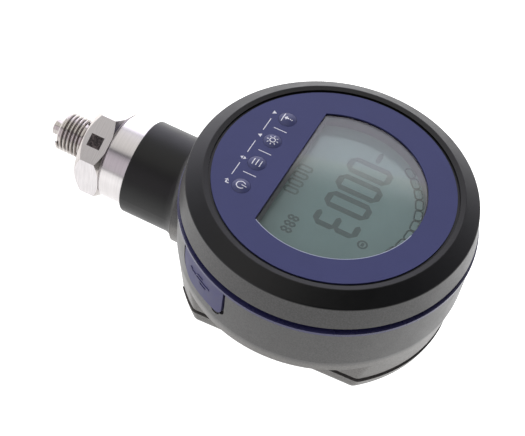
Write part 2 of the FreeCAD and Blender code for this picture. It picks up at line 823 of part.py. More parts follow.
# keys with dome, guide shank, stop flange and plunger
key_foot = board_top + 0.5 + key_travel + 0.1
key_stop = deck_low - key_guide
dome_bow = (key_rad * key_rad + key_rise * key_rise) / (2 * key_rise)
for label, x in key_xs.items():
    key = body(label)
    profile = sketch(key, "XZ_Plane")
    outline(profile, [
        (0, key_foot),
        (1.5, key_foot),
        (1.5, key_stop - 1.0),
        (key_rad + 0.8, key_stop - 1.0),
        (key_rad + 0.8, key_stop),
        (key_rad, key_stop),
        (key_rad, foil_top, dome_bow),
        (0, foil_top + key_rise),
    ])
    revolve(key, profile)
    bind(key, "Placement.Base.x", x)
    bind(key, "Placement.Base.y", -key_row)

# battery cover, its seal, cells and contacts
cover = body("battery_cover")
profile = sketch(cover, "XY_Plane")
bay_outline(profile, cover_rad + cover_out, 0)
pad(cover, profile, cover_top)
taper = sketch(cover, "XZ_Plane")
outline(taper, [(cover_rad + cover_out, cover_top), (skirt_rad, 0), (reach, 0), (reach, cover_top)])
groove(cover, taper)
fillet(cover, bay_round, lambda edge: bay_corner(edge, cover_top.number))
fillet(cover, cover_edge, lambda edge: abs(edge.BoundBox.ZMax) < 0.001)
inside = sketch(cover, "XY_Plane", cover_top)
bay_outline(inside, cover_rad - 4.2, 4.2)
pocket(cover, inside, cover_top - cover_floor)
bosses = sketch(cover, "XY_Plane", cover_floor)
for x, y in cover_screws_at:
    circle(bosses, x, y, screw_head + 1.6)
pad(cover, bosses, cover_top - cover_floor)
sinks = sketch(cover, "XY_Plane")
for x, y in cover_screws_at:
    circle(sinks, x, y, screw_head + 0.3)
pocket(cover, sinks, 2.5, back=True)
holes = sketch(cover, "XY_Plane")
for x, y in cover_screws_at:
    circle(holes, x, y, screw_rad + slack)
pocket(cover, holes, cover_top, back=True)
seal = body("battery_cover_seal")
profile = sketch(seal, "XY_Plane", cover_top)
bay_outline(profile, cover_rad - 1.3, 1.3)
pad(seal, profile, cover_gap)
inside = sketch(seal, "XY_Plane", cover_top)
bay_outline(inside, cover_rad - 3.1, 3.1)
pocket(seal, inside, cover_gap, back=True)

cell_up = cell_low + cell_rad
plate_at = bay_wide / 2 - plate_thick
for number, y in enumerate(cell_ys):
    cell = body("battery_cell_%d" % (number + 1))
    profile = sketch(cell, "YZ_Plane")
    button = cell_len - 1.3
    outline(profile, [
        (0, 0),
        (cell_rad - 0.5, 0),
        (cell_rad, 0.5),
        (cell_rad, button - 0.5),
        (cell_rad - 0.5, button),
        (2.75, button),
        (2.75, cell_len),
        (0, cell_len),
    ])
    revolve(cell, profile)
    toward = 1 if number % 2 == 0 else -1
    cell.Placement = FreeCAD.Placement(
        FreeCAD.Vector(0, 0, 0), FreeCAD.Rotation(FreeCAD.Vector(0, 1, 0), 90 * toward))
    bind(cell, "Placement.Base.x", toward * (plate_at - cell_len))
    bind(cell, "Placement.Base.y", y)
    bind(cell, "Placement.Base.z", cell_up)
plate_sketch = loose_sketch("battery_plates_sketch", cell_up - 5.0)
spring_sketch = loose_sketch("battery_springs_sketch", cell_up - 4.0)
spring_tip = cell_len - plate_at
spring_foot = bay_wide / 2
for number, y in enumerate(cell_ys):
    toward = 1 if number % 2 == 0 else -1
    outline(plate_sketch, [
        (toward * plate_at, y - 5.5),
        (toward * (bay_wide / 2), y - 5.5),
        (toward * (bay_wide / 2), y + 5.5),
        (toward * plate_at, y + 5.5),
    ])
    outline(spring_sketch, [
        (-toward * spring_foot, y - 5.5),
        (-toward * (spring_foot - plate_thick), y - 5.5),
        (-toward * spring_tip, y - 1.0),
        (-toward * spring_tip, y + 1.0),
        (-toward * (spring_foot - plate_thick), y + 5.5),
        (-toward * spring_foot, y + 5.5),
        (-toward * spring_foot, y + 4.6),
        (-toward * (spring_tip + plate_thick), y + 0.5),
        (-toward * (spring_tip + plate_thick), y - 0.5),
        (-toward * spring_foot, y - 4.6),
    ])
plates = extrusion("battery_plates", plate_sketch, 10.0)
nodes.append(plates)
springs = extrusion("battery_springs", spring_sketch, 8.0)
nodes.append(springs)
lead_sketch = loose_sketch("battery_leads_sketch", bay_roof - slack)
for sign in (1, -1):
    circle(lead_sketch, sign * wire_x, cell_ys[2], 0.6)
leads = extrusion("battery_leads", lead_sketch, board_low - bay_roof + slack)
nodes.append(leads)

# service port behind the flap
flap = body("port_flap")
panel = sketch(flap, "XZ_Plane", 0, port_turn)
rectangle(panel, flap_in, flap_low, flap_in + flap_thick, flap_top)
revolve(flap, panel, flap_span)


def flap_corner(turn_from_port):
    def test(edge):
        spot = middle_of(edge)
        if abs(spot.z - flap_low.number) > 0.01 or edge.Length > 3:
            return False
        here = math.degrees(math.atan2(spot.y, spot.x))
        return abs(here - port_turn.number - turn_from_port) < 0.3
    return test


fillet(flap, flap_wide_round, flap_corner(-flap_span.number / 2))
fillet(flap, flap_small_round, flap_corner(flap_span.number / 2))
plug = sketch(flap, "XZ_Plane", 0, port_turn)
rectangle(plug, cavity_rad - 0.2, port_mid - port_high / 2 - 0.2,
          flap_in + 0.5, port_mid + port_high / 2)
pad(flap, plug, port_wide + 1.0, both=True)
socket = body("port_socket")
shell = sketch(socket, "XZ_Plane", 0, port_turn)
socket_face = cavity_rad - 0.6
rectangle(shell, socket_face - port_deep, port_mid - port_high / 2,
          socket_face, port_mid + port_high / 2)
pad(socket, shell, port_wide, both=True)
mouth = sketch(socket, "XZ_Plane", 0, port_turn)
mouth_end = socket_face - port_deep + 1.0
rectangle(mouth, mouth_end, port_mid + 0.35, socket_face, port_mid + port_high / 2 - 0.4)
rectangle(mouth, mouth_end, port_mid - port_high / 2 + 0.4, socket_face, port_mid - 0.35)
pocket(socket, mouth, port_wide - 0.8, both=True)
port_board = body("port_board")
profile = sketch(port_board, "XY_Plane", port_board_low)
rectangle(profile, post_along - 2.6, -7.2, cavity_rad - 1.0, 5.6)
for sign in (1, -1):
    circle(profile, post_along, sign * post_across, small_screw + 0.15)
pad(port_board, profile, board_thick)
port_board.Placement = FreeCAD.Placement(
    FreeCAD.Vector(0, 0, 0), FreeCAD.Rotation(FreeCAD.Vector(0, 0, 1), port_turn.number))
bind(port_board, "Placement.Rotation.Angle", port_turn)
port_screws_at = [out_at(post_along, sign * post_across) for sign in (1, -1)]
port_seat = port_board_low + board_thick
screws("port_board_screws", port_screws_at, port_seat, 1.8, 1.2, small_screw, 5.6, False)
x, y = out_at(post_along - 1.0, -1.6)
box("port_connector", (x, y, port_seat), (2.0, 3.2, board_low - port_seat), port_turn)

# stainless process fitting turning in the neck
fitting = body("process_fitting")
profile = sketch(fitting, "XY_Plane", stem_top)
collar_end = -(neck_end + 0.1)
clip_low = -(neck_seat - 0.15)
clip_high = clip_low + 1.1
seal_at = -(neck_end - 4.0)
outline(profile, [
    (port_bore, -tip_end),
    (tip_rad - 0.4, -tip_end),
    (tip_rad, -(tip_end - 0.4)),
    (tip_rad, -thread_tip),
    (thread_rad - 1.2, -thread_tip),
    (thread_rad, -(thread_tip - 1.2)),
    (thread_rad, -(hex_front + relief_len)),
    (relief_rad, -(hex_front + relief_len - 0.7)),
    (relief_rad, -hex_front),
    (hex_flats / 2 - 0.35, -hex_front),
    (hex_flats / 2 - 0.1, -hex_front + 0.25),
    (hex_flats / 2 - 0.1, -hex_back),
    (collar_rad - relief_deep, -hex_back),
    (collar_rad - relief_deep, -hex_back + relief_wide),
    (collar_rad - 0.15, -hex_back + relief_wide),
    (collar_rad, -hex_back + relief_wide + 0.15),
    (collar_rad, collar_end),
    (journal, collar_end),
    (journal, seal_at - 1.2),
    (journal - 1.75, seal_at - 1.2),
    (journal - 1.75, seal_at + 1.2),
    (journal, seal_at + 1.2),
    (journal, clip_low),
    (journal - 1.3, clip_low),
    (journal - 1.3, clip_high),
    (journal - 0.4, clip_high),
    (journal - 0.4, clip_high + 0.5),
    (nose_rad, clip_high + 0.9),
    (nose_rad, -nose_end),
    (port_bore, -nose_end),
])
revolve(fitting, profile)
hexagon = sketch(fitting, "XZ_Plane", hex_front)
corner = hex_flats / 2 / math.cos(math.pi / 6)
hex_corners = []
for step in range(6):
    angle = hex_turn + 60.0 * step
    hex_corners.append((corner * sine(angle), stem_top + corner * cosine(angle)))
hex_corners.append(hex_corners.pop(0))
outline(hexagon, list(reversed(hex_corners)))
circle(hexagon, 0, stem_top, port_bore + 2.0)
pad(fitting, hexagon, hex_front - hex_back, back=True)
bevel = sketch(fitting, "XY_Plane", stem_top)
bevel_in = hex_flats / 2 - 0.35
bevel_out = corner + 1.0
outline(bevel, [
    (bevel_in, -hex_front),
    (bevel_out, -hex_front),
    (bevel_out, -hex_front + bevel_out - bevel_in),
])
bevel_back = hex_flats / 2 + 0.1
outline(bevel, [
    (bevel_back, -hex_back),
    (bevel_out, -hex_back - (bevel_out - bevel_back) * 0.3),
    (bevel_out, -hex_back),
])
groove(fitting, bevel)
pin_at = nose_end + 1.9
pin_hole = sketch(fitting, "XY_Plane", stem_top + 5.0)
circle(pin_hole, 0, -pin_at, 0.82)
pocket(fitting, pin_hole, 6.0, back=True)

# sensor cell welded to the nose, with its contact pins
sensor = body("sensor_cell")
profile = sketch(sensor, "XY_Plane", stem_top)
outline(profile, [
    (0, -nose_end),
    (nose_rad - 0.4, -nose_end),
    (nose_rad - 0.4, -nose_end + 1.6),
    (nose_rad - 1.6, -nose_end + 2.2),
    (nose_rad - 1.6, -nose_end + sensor_len),
    (0, -nose_end + sensor_len),
])
revolve(sensor, profile)
pins = sketch(sensor, "XZ_Plane", nose_end - sensor_len)
for sx, sz in ((1, 1), (-1, 1), (1, -1), (-1, -1)):
    circle(pins, 3.0 * sx, stem_top + 3.0 * sz, 0.4)
pad(sensor, pins, 0.9, back=True)
plate = body("sensor_board")
disc = sketch(plate, "XZ_Plane", nose_end - sensor_len - 0.9)
circle(disc, 0, stem_top, nose_rad - 0.8)
pad(plate, disc, board_thick - 0.4, back=True)
clip = body("retaining_ring")
disc = sketch(clip, "XZ_Plane", neck_seat - 0.2)
circle(disc, 0, stem_top, sensor_room - 0.5)
circle(disc, 0, stem_top, journal - 1.25)
pad(clip, disc, 1.0, back=True)
slot = sketch(clip, "XZ_Plane", neck_seat - 0.2)
rectangle(slot, -2.4, stem_top + nose_rad - 1.0, 2.4, stem_top + sensor_room + 1.0)
pocket(clip, slot, 1.0)
neck_seal = doc.addObject("Part::Torus", "neck_seal")
bind(neck_seal, "Radius1", journal - 0.9)
bind(neck_seal, "Radius2", 0.85)
neck_seal.Placement = FreeCAD.Placement(
    FreeCAD.Vector(0, 0, 0), FreeCAD.Rotation(FreeCAD.Vector(1, 0, 0), 90))
bind(neck_seal, "Placement.Base.y", seal_at)
bind(neck_seal, "Placement.Base.z", stem_top)
nodes.append(neck_seal)
stop_pin = doc.addObject("Part::Cylinder", "stop_pin")
bind(stop_pin, "Radius", 0.8)
bind(stop_pin, "Height", sensor_room - 5.6)
bind(stop_pin, "Placement.Base.y", -pin_at)
bind(stop_pin, "Placement.Base.z", stem_top + 5.0)
nodes.append(stop_pin)

# ribbon from the sensor board up to the main board
lead = body("sensor_lead")
ribbon = sketch(lead, "YZ_Plane")
ribbon_y = -(sensor_wall + 0.3)
outline(ribbon, [
    (ribbon_y - 0.9, stem_top - 3.0),
    (ribbon_y - 0.5, stem_top - 3.0),
    (ribbon_y, stem_top + 1.0),
    (ribbon_y, board_low),
    (ribbon_y - 0.4, board_low),
    (ribbon_y - 0.4, stem_top + 1.0),
])
pad(lead, ribbon, 6.0, both=True)

doc.recompute()
for item in doc.Objects:
    if "Invalid" in item.State or "Error" in item.State:
        raise RuntimeError("%s did not compute" % item.Name)
os.makedirs("parts", exist_ok=True)
for item in nodes:
    if item.Shape.isNull() or not item.Shape.isValid():
        raise RuntimeError("%s has no sound shape" % item.Label)
    item.Shape.exportStep("parts/%s.step" % item.Label)
    box_now = item.Shape.BoundBox
    print("%s solids %d volume %.1f box %.2f %.2f %.2f to %.2f %.2f %.2f" % (
        item.Label, len(item.Shape.Solids), item.Shape.Volume, box_now.XMin, box_now.YMin, box_now.ZMin,
        box_now.XMax, box_now.YMax, box_now.ZMax))
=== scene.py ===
import math

import bmesh
import bpy
from mathutils import Matrix, Vector


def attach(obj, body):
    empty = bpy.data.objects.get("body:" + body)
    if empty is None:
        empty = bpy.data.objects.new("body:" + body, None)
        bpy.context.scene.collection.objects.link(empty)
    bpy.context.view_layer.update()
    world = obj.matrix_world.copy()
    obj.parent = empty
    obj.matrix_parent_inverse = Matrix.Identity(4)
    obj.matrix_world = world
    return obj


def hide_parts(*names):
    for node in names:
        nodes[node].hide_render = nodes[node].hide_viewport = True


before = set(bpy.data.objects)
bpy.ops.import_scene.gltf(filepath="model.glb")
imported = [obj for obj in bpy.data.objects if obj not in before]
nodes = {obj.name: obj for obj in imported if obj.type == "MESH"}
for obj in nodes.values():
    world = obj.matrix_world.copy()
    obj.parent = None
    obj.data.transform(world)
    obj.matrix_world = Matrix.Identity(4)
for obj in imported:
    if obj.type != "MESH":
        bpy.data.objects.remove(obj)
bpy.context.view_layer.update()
scene = bpy.context.scene
mm = 0.001
stemAxis = 15.9  # height of the fitting's axis, in mm
print("frame loaded,", len(nodes), "CAD nodes")


def linear(hexColour):
    parts = [int(hexColour[i:i + 2], 16) / 255 for i in (1, 3, 5)]
    return [c / 12.92 if c <= 0.04045 else ((c + 0.055) / 1.055) ** 2.4 for c in parts] + [1.0]


def setInputs(tree, node, inputs):
    # a node given as a value stands for its first output in use
    for key, value in inputs.items():
        if isinstance(value, bpy.types.Node):
            value = next(socket for socket in value.outputs if socket.enabled)
        if isinstance(value, bpy.types.NodeSocket):
            tree.links.new(value, node.inputs[key])
        else:
            node.inputs[key].default_value = value


def addNode(tree, kind, settings=None, inputs=None):
    # a word in place of the settings is the node's operation
    node = tree.nodes.new(kind)
    for key, value in ({"operation": settings} if isinstance(settings, str) else settings or {}).items():
        if key != "stops":
            setattr(node, key, value)
            continue
        while len(node.color_ramp.elements) < len(value):
            node.color_ramp.elements.new(0.5)
        for element, (spot, colour) in zip(node.color_ramp.elements, value):
            element.position = spot
            element.color = linear(colour) if isinstance(colour, str) else colour
    setInputs(tree, node, inputs or {})
    return node


softEnds = {"interpolation_type": "SMOOTHSTEP"}  # for a range that eases in and out


def newFinish(name):
    # every finish is laid out on object coordinates
    finish = bpy.data.materials.new(name)
    finish.use_nodes = True
    tree = finish.node_tree
    tree.nodes.clear()
    shader = addNode(tree, "ShaderNodeBsdfPrincipled")
    addNode(tree, "ShaderNodeOutputMaterial", None, {"Surface": shader})
    return finish, tree, shader, addNode(tree, "ShaderNodeTexCoord").outputs["Object"]


def paintedWallLight(tree, place, grain, tint, wall):
    # walls below the bezel and inside the neck's root are painted a lighter grey than the bezel and paler still at the
    # foot: painted light, standing in for the light they catch from the bright table
    height = addNode(tree, "ShaderNodeSeparateXYZ", None, {"Vector": place}).outputs["Z"]
    plan = addNode(tree, "ShaderNodeVectorMath", "MULTIPLY", {0: place, 1: (1.0, 1.0, 0.0)})
    away = addNode(tree, "ShaderNodeVectorMath", "LENGTH", {0: plan})
    below, within, low = [addNode(tree, "ShaderNodeMapRange", None, {
        "Value": measure, "From Min": wall[edge][0] * mm, "From Max": wall[edge][1] * mm,
        "To Min": 1.0, "To Max": 0.0})
        for measure, edge in ((height, "below"), (away, "within"), (height, "paintedFootEdge"))]
    share = addNode(tree, "ShaderNodeMath", "MULTIPLY", {0: below, 1: within})
    paintedWallGrey, paintedFootLight = [addNode(tree, "ShaderNodeValToRGB", {"stops": list(zip((0.35, 0.65), wall[part]))}, {
        "Fac": grain}) for part in ("colours", "paintedFootLight")]
    paintedWallsAndFoot = addNode(tree, "ShaderNodeMix", {"data_type": "RGBA"}, {0: low, 6: paintedWallGrey, 7: paintedFootLight})
    return addNode(tree, "ShaderNodeMix", {"data_type": "RGBA"}, {0: share, 6: tint, 7: paintedWallsAndFoot})


def mouldedFinish(name, look):
    # slow drift of colour and gloss, and a fine grain that breaks up the highlight
    finish, tree, shader, place = newFinish(name)
    drift = addNode(tree, "ShaderNodeTexNoise", None, {
        "Vector": place, "Scale": 1000 / look["driftMm"], "Detail": 4.0, "Roughness": 0.6})
    tint = addNode(tree, "ShaderNodeValToRGB", {"stops": list(zip((0.32, 0.68), look["colours"]))}, {"Fac": drift})
    gloss = addNode(tree, "ShaderNodeMapRange", None, {
        "Value": drift, "From Min": 0.3, "From Max": 0.7, "To Min": look["gloss"][0], "To Max": look["gloss"][1]})
    grain = addNode(tree, "ShaderNodeTexNoise", None, {
        "Vector": place, "Scale": 1000 / look["grainMm"], "Detail": 2.0})
    bump = addNode(tree, "ShaderNodeBump", None, {
        "Height": grain, "Strength": look.get("relief", 0.5), "Distance": look["reliefMm"] * mm})
    # walls get painted light: a lighter grey than the bezel, paler at the foot
    if "wall" in look:
        tint = paintedWallLight(tree, place, grain, tint, look["wall"])
    setInputs(tree, shader, {"Base Color": tint, "Roughness": gloss, "Normal": bump, **look.get("sockets", {})})
    return finish


# glass-filled polyamide, spark-eroded mould: dull near-black bezel and neck; the walls are painted mid grey and the
# foot paler, as painted light below, within and the foot's edge are the soft edges of the painted wall light, in mm of
# height, radius and height
caseLook = {"colours": ("#090a0a", "#0e0f0f"), "driftMm": 6.0, "gloss": (0.36, 0.44), "grainMm": 0.5,
            "reliefMm": 0.03, "relief": 0.6, "sockets": {"IOR": 1.53, "Specular IOR Level": 0.33},
            "wall": {"colours": ("#4d4d4c", "#5a5a59"), "paintedFootLight": ("#6a6966", "#7b7976"),
                     "below": (43.9, 44.3), "within": (47.2, 48.0), "paintedFootEdge": (16.0, 18.0)}}
sparkErodedPolyamide = mouldedFinish("sparkErodedPolyamide", caseLook)

# blue polycarbonate ring from a polished mould: mid blue with a crisp edge highlight
ringLook = {"colours": ("#2f2f5a", "#363664"), "driftMm": 8.0, "gloss": (0.22, 0.32), "grainMm": 0.8,
            "reliefMm": 0.01, "sockets": {"IOR": 1.58}}
polishedBluePolycarbonate = mouldedFinish("polishedBluePolycarbonate", ringLook)

# polyester keypad foil printed on its back: even slate blue under a fine velvet texture
foilLook = {"colours": ("#3f4475", "#43487a"), "driftMm": 14.0, "gloss": (0.44, 0.5), "grainMm": 0.35,
            "reliefMm": 0.008, "sockets": {"IOR": 1.6, "Specular IOR Level": 0.2}}
printedVelvetFoil = mouldedFinish("printedVelvetFoil", foilLook)

# the same foil embossed over the keys: the pressed film is smoother, so the domes catch the light
keyLook = {"colours": ("#3b406f", "#414676"), "driftMm": 3.0, "gloss": (0.3, 0.38), "grainMm": 0.3,
           "reliefMm": 0.006, "sockets": {"IOR": 1.6, "Specular IOR Level": 0.3}}
embossedKeyFoil = mouldedFinish("embossedKeyFoil", keyLook)

# screen-printed white ink: slightly chalky, thin enough to let a little of the blue through
inkLook = {"colours": ("#eef1ff", "#fdfeff"), "driftMm": 0.6, "gloss": (0.5, 0.6), "grainMm": 0.15,
           "reliefMm": 0.004}
screenPrintedWhite = mouldedFinish("screenPrintedWhite", inkLook)
# the foil's unprinted rim: clear film over white backing, so a greyer white than the ink; drawn only along the
# window's near arc, it is also a painted highlight
rimHighlightLook = {"colours": ("#c0c8de", "#ced6ea"), "driftMm": 2.0, "gloss": (0.3, 0.4), "grainMm": 0.15,
           "reliefMm": 0.004}
foilRimHighlight = mouldedFinish("foilRimHighlight", rimHighlightLook)

# soft thermoplastic elastomer: matt blue with a light bloom
flapLook = {"colours": ("#34345f", "#3c3c6b"), "driftMm": 3.5, "gloss": (0.46, 0.58), "grainMm": 0.4,
            "reliefMm": 0.02, "sockets": {"Sheen Weight": 0.03, "Sheen Roughness": 0.5}}
softBlueElastomer = mouldedFinish("softBlueElastomer", flapLook)

# display frame in grey polycarbonate blend, seen only as the wall round the display
frameLook = {"colours": ("#5d5a64", "#67646e"), "driftMm": 5.0, "gloss": (0.42, 0.52), "grainMm": 0.5,
             "reliefMm": 0.015}
greyDisplayFrame = mouldedFinish("greyDisplayFrame", frameLook)

# liquid crystal in the display glass: smoky green-black figures, paler where a field is driven weakly
crystalLook = {"colours": ("#2b4140", "#314947"), "driftMm": 1.2, "gloss": (0.16, 0.2), "grainMm": 0.25,
               "reliefMm": 0.001, "sockets": {"Specular IOR Level": 0.8}}
darkLiquidCrystal = mouldedFinish("darkLiquidCrystal", crystalLook)
paleLook = {**crystalLook, "colours": ("#3b5150", "#415957")}
paleLiquidCrystal = mouldedFinish("paleLiquidCrystal", paleLook)

# zinc-plated steel screws: blue-white passivation, a little cloudy
zincLook = {"colours": ("#9a9da2", "#b9bcc0"), "driftMm": 0.9, "gloss": (0.22, 0.38), "grainMm": 0.15,
            "reliefMm": 0.006, "sockets": {"Metallic": 1.0}}
platedZinc = mouldedFinish("platedZinc", zincLook)

# hidden or seen only in the sinks and the open port
hiddenLooks = {
    # acrylic light guide, milky from its etched dots
    "light_guide": ("etchedAcrylicGuide", {
        "colours": ("#d8dde0", "#eceff0"), "driftMm": 2.0, "gloss": (0.2, 0.35), "grainMm": 0.4, "reliefMm": 0.02,
        "sockets": {"Transmission Weight": 0.3, "IOR": 1.49}}),
    # nitrile rubber, pressed: black with a dusty bloom
    "seal_rubber": ("pressedNitrile", {
        "colours": ("#141414", "#232323"), "driftMm": 1.5, "gloss": (0.6, 0.75), "grainMm": 0.2, "reliefMm": 0.02}),
    # stamped spring steel, nickel plated: warm bright metal with drawing marks
    "contact_nickel": ("platedNickelSheet", {
        "colours": ("#b9b2a2", "#cfc8b8"), "driftMm": 2.0, "gloss": (0.18, 0.3), "grainMm": 0.3, "reliefMm": 0.01,
        "sockets": {"Metallic": 1.0}}),
    # PVC lead insulation, extruded: soft gloss
    "wire_cover": ("extrudedPvc", {
        "colours": ("#7d1512", "#941c17"), "driftMm": 3.0, "gloss": (0.35, 0.45), "grainMm": 0.5, "reliefMm": 0.01}),
    # natural nylon connector: ivory, a little translucent
    "connector_plastic": ("naturalNylon", {
        "colours": ("#cfc8b4", "#dfd9c8"), "driftMm": 1.5, "gloss": (0.35, 0.5), "grainMm": 0.3, "reliefMm": 0.01,
        "sockets": {"Subsurface Weight": 0.1}}),
    # sintered alumina: dense off-white
    "ceramic": ("sinteredAlumina", {
        "colours": ("#e3e0d6", "#efede6"), "driftMm": 1.0, "gloss": (0.4, 0.55), "grainMm": 0.1, "reliefMm": 0.005}),
}
finishes = {slot: mouldedFinish(name, look) for slot, (name, look) in hiddenLooks.items()}

# acrylic window, cast and hard coated: clear, with a faint wipe haze
paneLook = {"hazeMm": 12.0, "gloss": (0.0, 0.015), "ior": 1.49, "colour": "#f7faf8"}
castAcrylicPane, tree, shader, place = newFinish("castAcrylicPane")
haze = addNode(tree, "ShaderNodeTexNoise", None, {"Vector": place, "Scale": 1000 / paneLook["hazeMm"], "Detail": 3.0})
gloss = addNode(tree, "ShaderNodeMapRange", None, {
    "Value": haze, "To Min": paneLook["gloss"][0], "To Max": paneLook["gloss"][1]})
setInputs(tree, shader, {"Roughness": gloss, "Base Color": linear(paneLook["colour"]),
                         "Transmission Weight": 1.0, "IOR": paneLook["ior"]})

# reflective LCD: grey-green cell with the sparkle of its rear reflector foil
lcdLook = {"colours": ("#6b8382", "#738b89"), "sparkleMm": 0.35, "driftMm": 9.0, "sparkle": 0.3,
           "gloss": 0.16, "metal": 0.12, "relief": 0.015, "reliefMm": 0.01}
reflectiveCell, tree, shader, place = newFinish("reflectiveCell")
sparkle = addNode(tree, "ShaderNodeTexVoronoi", None, {"Vector": place, "Scale": 1000 / lcdLook["sparkleMm"]})
drift = addNode(tree, "ShaderNodeTexNoise", None, {"Vector": place, "Scale": 1000 / lcdLook["driftMm"]})
blend = addNode(tree, "ShaderNodeMix", {"data_type": "FLOAT"}, {
    "Factor": lcdLook["sparkle"], "A": drift, "B": sparkle})
tint = addNode(tree, "ShaderNodeValToRGB", {"stops": list(zip((0.3, 0.7), lcdLook["colours"]))}, {"Fac": blend})
bump = addNode(tree, "ShaderNodeBump", None, {
    "Height": sparkle, "Strength": lcdLook["relief"], "Distance": lcdLook["reliefMm"] * mm})
setInputs(tree, shader, {"Base Color": tint, "Normal": bump,
                         "Roughness": lcdLook["gloss"], "Metallic": lcdLook["metal"]})

# glass-fibre laminate with green solder resist: copper tracks show paler under the lacquer
boardLook = {"blockMm": 5.08, "lacquer": "#0f4a2c", "track": "#155c37", "copper": "#2a7048", "gloss": 0.35,
             "relief": 0.4, "reliefMm": 0.03}
lacqueredLaminate, tree, shader, place = newFinish("lacqueredLaminate")
tracks = addNode(tree, "ShaderNodeTexBrick", {"offset": 0.37, "squash": 0.6}, {
    "Vector": place, "Scale": 1000 / boardLook["blockMm"], "Mortar Size": 0.03, "Color1": linear(boardLook["lacquer"]),
    "Color2": linear(boardLook["track"]), "Mortar": linear(boardLook["copper"])})
bump = addNode(tree, "ShaderNodeBump", None, {
    "Height": tracks.outputs["Fac"], "Strength": boardLook["relief"], "Distance": boardLook["reliefMm"] * mm})
setInputs(tree, shader, {"Base Color": tracks, "Normal": bump, "Roughness": boardLook["gloss"]})

# printed shrink sleeve on the cells: dark sleeve, one wide metallic band
cellLook = {"sleeve": "#1d1f23", "band": "#a8763c", "bandFrom": (6.0, 6.2), "rippleMm": 2.5, "gloss": (0.15, 0.4)}
printedShrinkSleeve, tree, shader, place = newFinish("printedShrinkSleeve")
along = addNode(tree, "ShaderNodeSeparateXYZ", None, {"Vector": place})
ripple = addNode(tree, "ShaderNodeTexNoise", None, {
    "Vector": place, "Scale": 1000 / cellLook["rippleMm"], "Detail": 3.0})
inBand = addNode(tree, "ShaderNodeMapRange", softEnds, {
    "Value": along.outputs["X"], "From Min": cellLook["bandFrom"][0] * mm, "From Max": cellLook["bandFrom"][1] * mm})
tint = addNode(tree, "ShaderNodeValToRGB", {"stops": [(0.0, cellLook["sleeve"]), (1.0, cellLook["band"])]}, {
    "Fac": inBand})
gloss = addNode(tree, "ShaderNodeMapRange", None, {
    "Value": ripple, "To Min": cellLook["gloss"][0], "To Max": cellLook["gloss"][1]})
setInputs(tree, shader, {"Base Color": tint, "Roughness": gloss})


def machinedFinish(name, look):
    # marks run round the stem axis; they tint the metal and draw its reflections out along the axis
    finish, tree, shader, place = newFinish(name)
    drawn = addNode(tree, "ShaderNodeMapping", None, {
        "Vector": place, "Scale": (look["stretch"], 1.0, look["stretch"])})
    fromAxis = addNode(tree, "ShaderNodeVectorMath", "SUBTRACT", {0: place, 1: (0.0, 0.0, stemAxis * mm)})
    across = addNode(tree, "ShaderNodeVectorMath", "MULTIPLY", {0: fromAxis, 1: (1.0, 0.0, 1.0)})
    away = addNode(tree, "ShaderNodeVectorMath", "LENGTH", {0: across})
    if look["rings"]:
        # on a turned end face the marks are rings
        ring = addNode(tree, "ShaderNodeCombineXYZ", None, {"X": away})
        drawn = addNode(tree, "ShaderNodeVectorMath", "ADD", {0: drawn, 1: ring})
    marks = addNode(tree, "ShaderNodeTexNoise", None, {
        "Vector": drawn, "Scale": 1000 / look["markMm"], "Detail": 3.0})
    tint = addNode(tree, "ShaderNodeValToRGB", {"stops": list(zip((0.3, 0.7), look["colours"]))}, {"Fac": marks})
    gloss = addNode(tree, "ShaderNodeMapRange", None, {
        "Value": marks, "From Min": 0.3, "From Max": 0.7, "To Min": look["gloss"][0], "To Max": look["gloss"][1]})
    bump = addNode(tree, "ShaderNodeBump", None, {"Height": marks, "Strength": look["relief"], "Distance": 0.01 * mm})
    around = addNode(tree, "ShaderNodeTangent", {"direction_type": "RADIAL", "axis": "Y"})
    if "root" in look:
        # cutting oil and painted shade keep the root of the thread dark
        low, high, oilAndShadeColour = look["root"]
        share = addNode(tree, "ShaderNodeMapRange", None, {
            "Value": away, "From Min": low * mm, "From Max": high * mm})
        tint = addNode(tree, "ShaderNodeMix", {"data_type": "RGBA"}, {0: share, 6: linear(oilAndShadeColour), 7: tint})
    setInputs(tree, shader, {
        "Base Color": tint, "Roughness": gloss, "Normal": bump,
        "Tangent": around, "Metallic": 1.0, "Anisotropic": look["drawnOut"], "Anisotropic Rotation": 0.25})
    return finish


# stainless bar turned on a lathe: the feed grooves spread every reflection along the axis into soft panels
# the feed is about 0.1 mm, drawn at 0.35 mm so that it shows
turnLook = {"markMm": 0.35, "stretch": 0.02, "colours": ("#d8d4d4", "#e4e0e0"), "gloss": (0.28, 0.32),
            "relief": 0.06, "drawnOut": 1.0, "rings": True}
turnedStainless = machinedFinish("turnedStainless", turnLook)
# the hexagon's flats are milled across: satin, with fine streaks from edge to edge
millLook = {"markMm": 0.3, "stretch": 0.06, "colours": ("#d2cecf", "#e6e2e3"), "gloss": (0.28, 0.36),
            "relief": 0.1, "drawnOut": 0.9, "rings": False}
milledStainless = machinedFinish("milledStainless", millLook)
# tip and bevels come straight from the cutting edge: bright, with hard dark and light lines
cutLook = {"markMm": 0.2, "stretch": 0.05, "colours": ("#a39d9a", "#c4bebb"), "gloss": (0.12, 0.22),
           "relief": 0.2, "drawnOut": 0.0, "rings": True}
cutStainless = machinedFinish("cutStainless", cutLook)
# the thread's flanks are pressed smooth by the rolls; their roots are darkened by oil and painted shade
threadFinishLook = {**cutLook, "colours": ("#b9b3af", "#d6d1cd"), "gloss": (0.16, 0.26),
                    "root": (5.7, 6.45, "#37312d")}
rolledThread = machinedFinish("rolledThread", threadFinishLook)

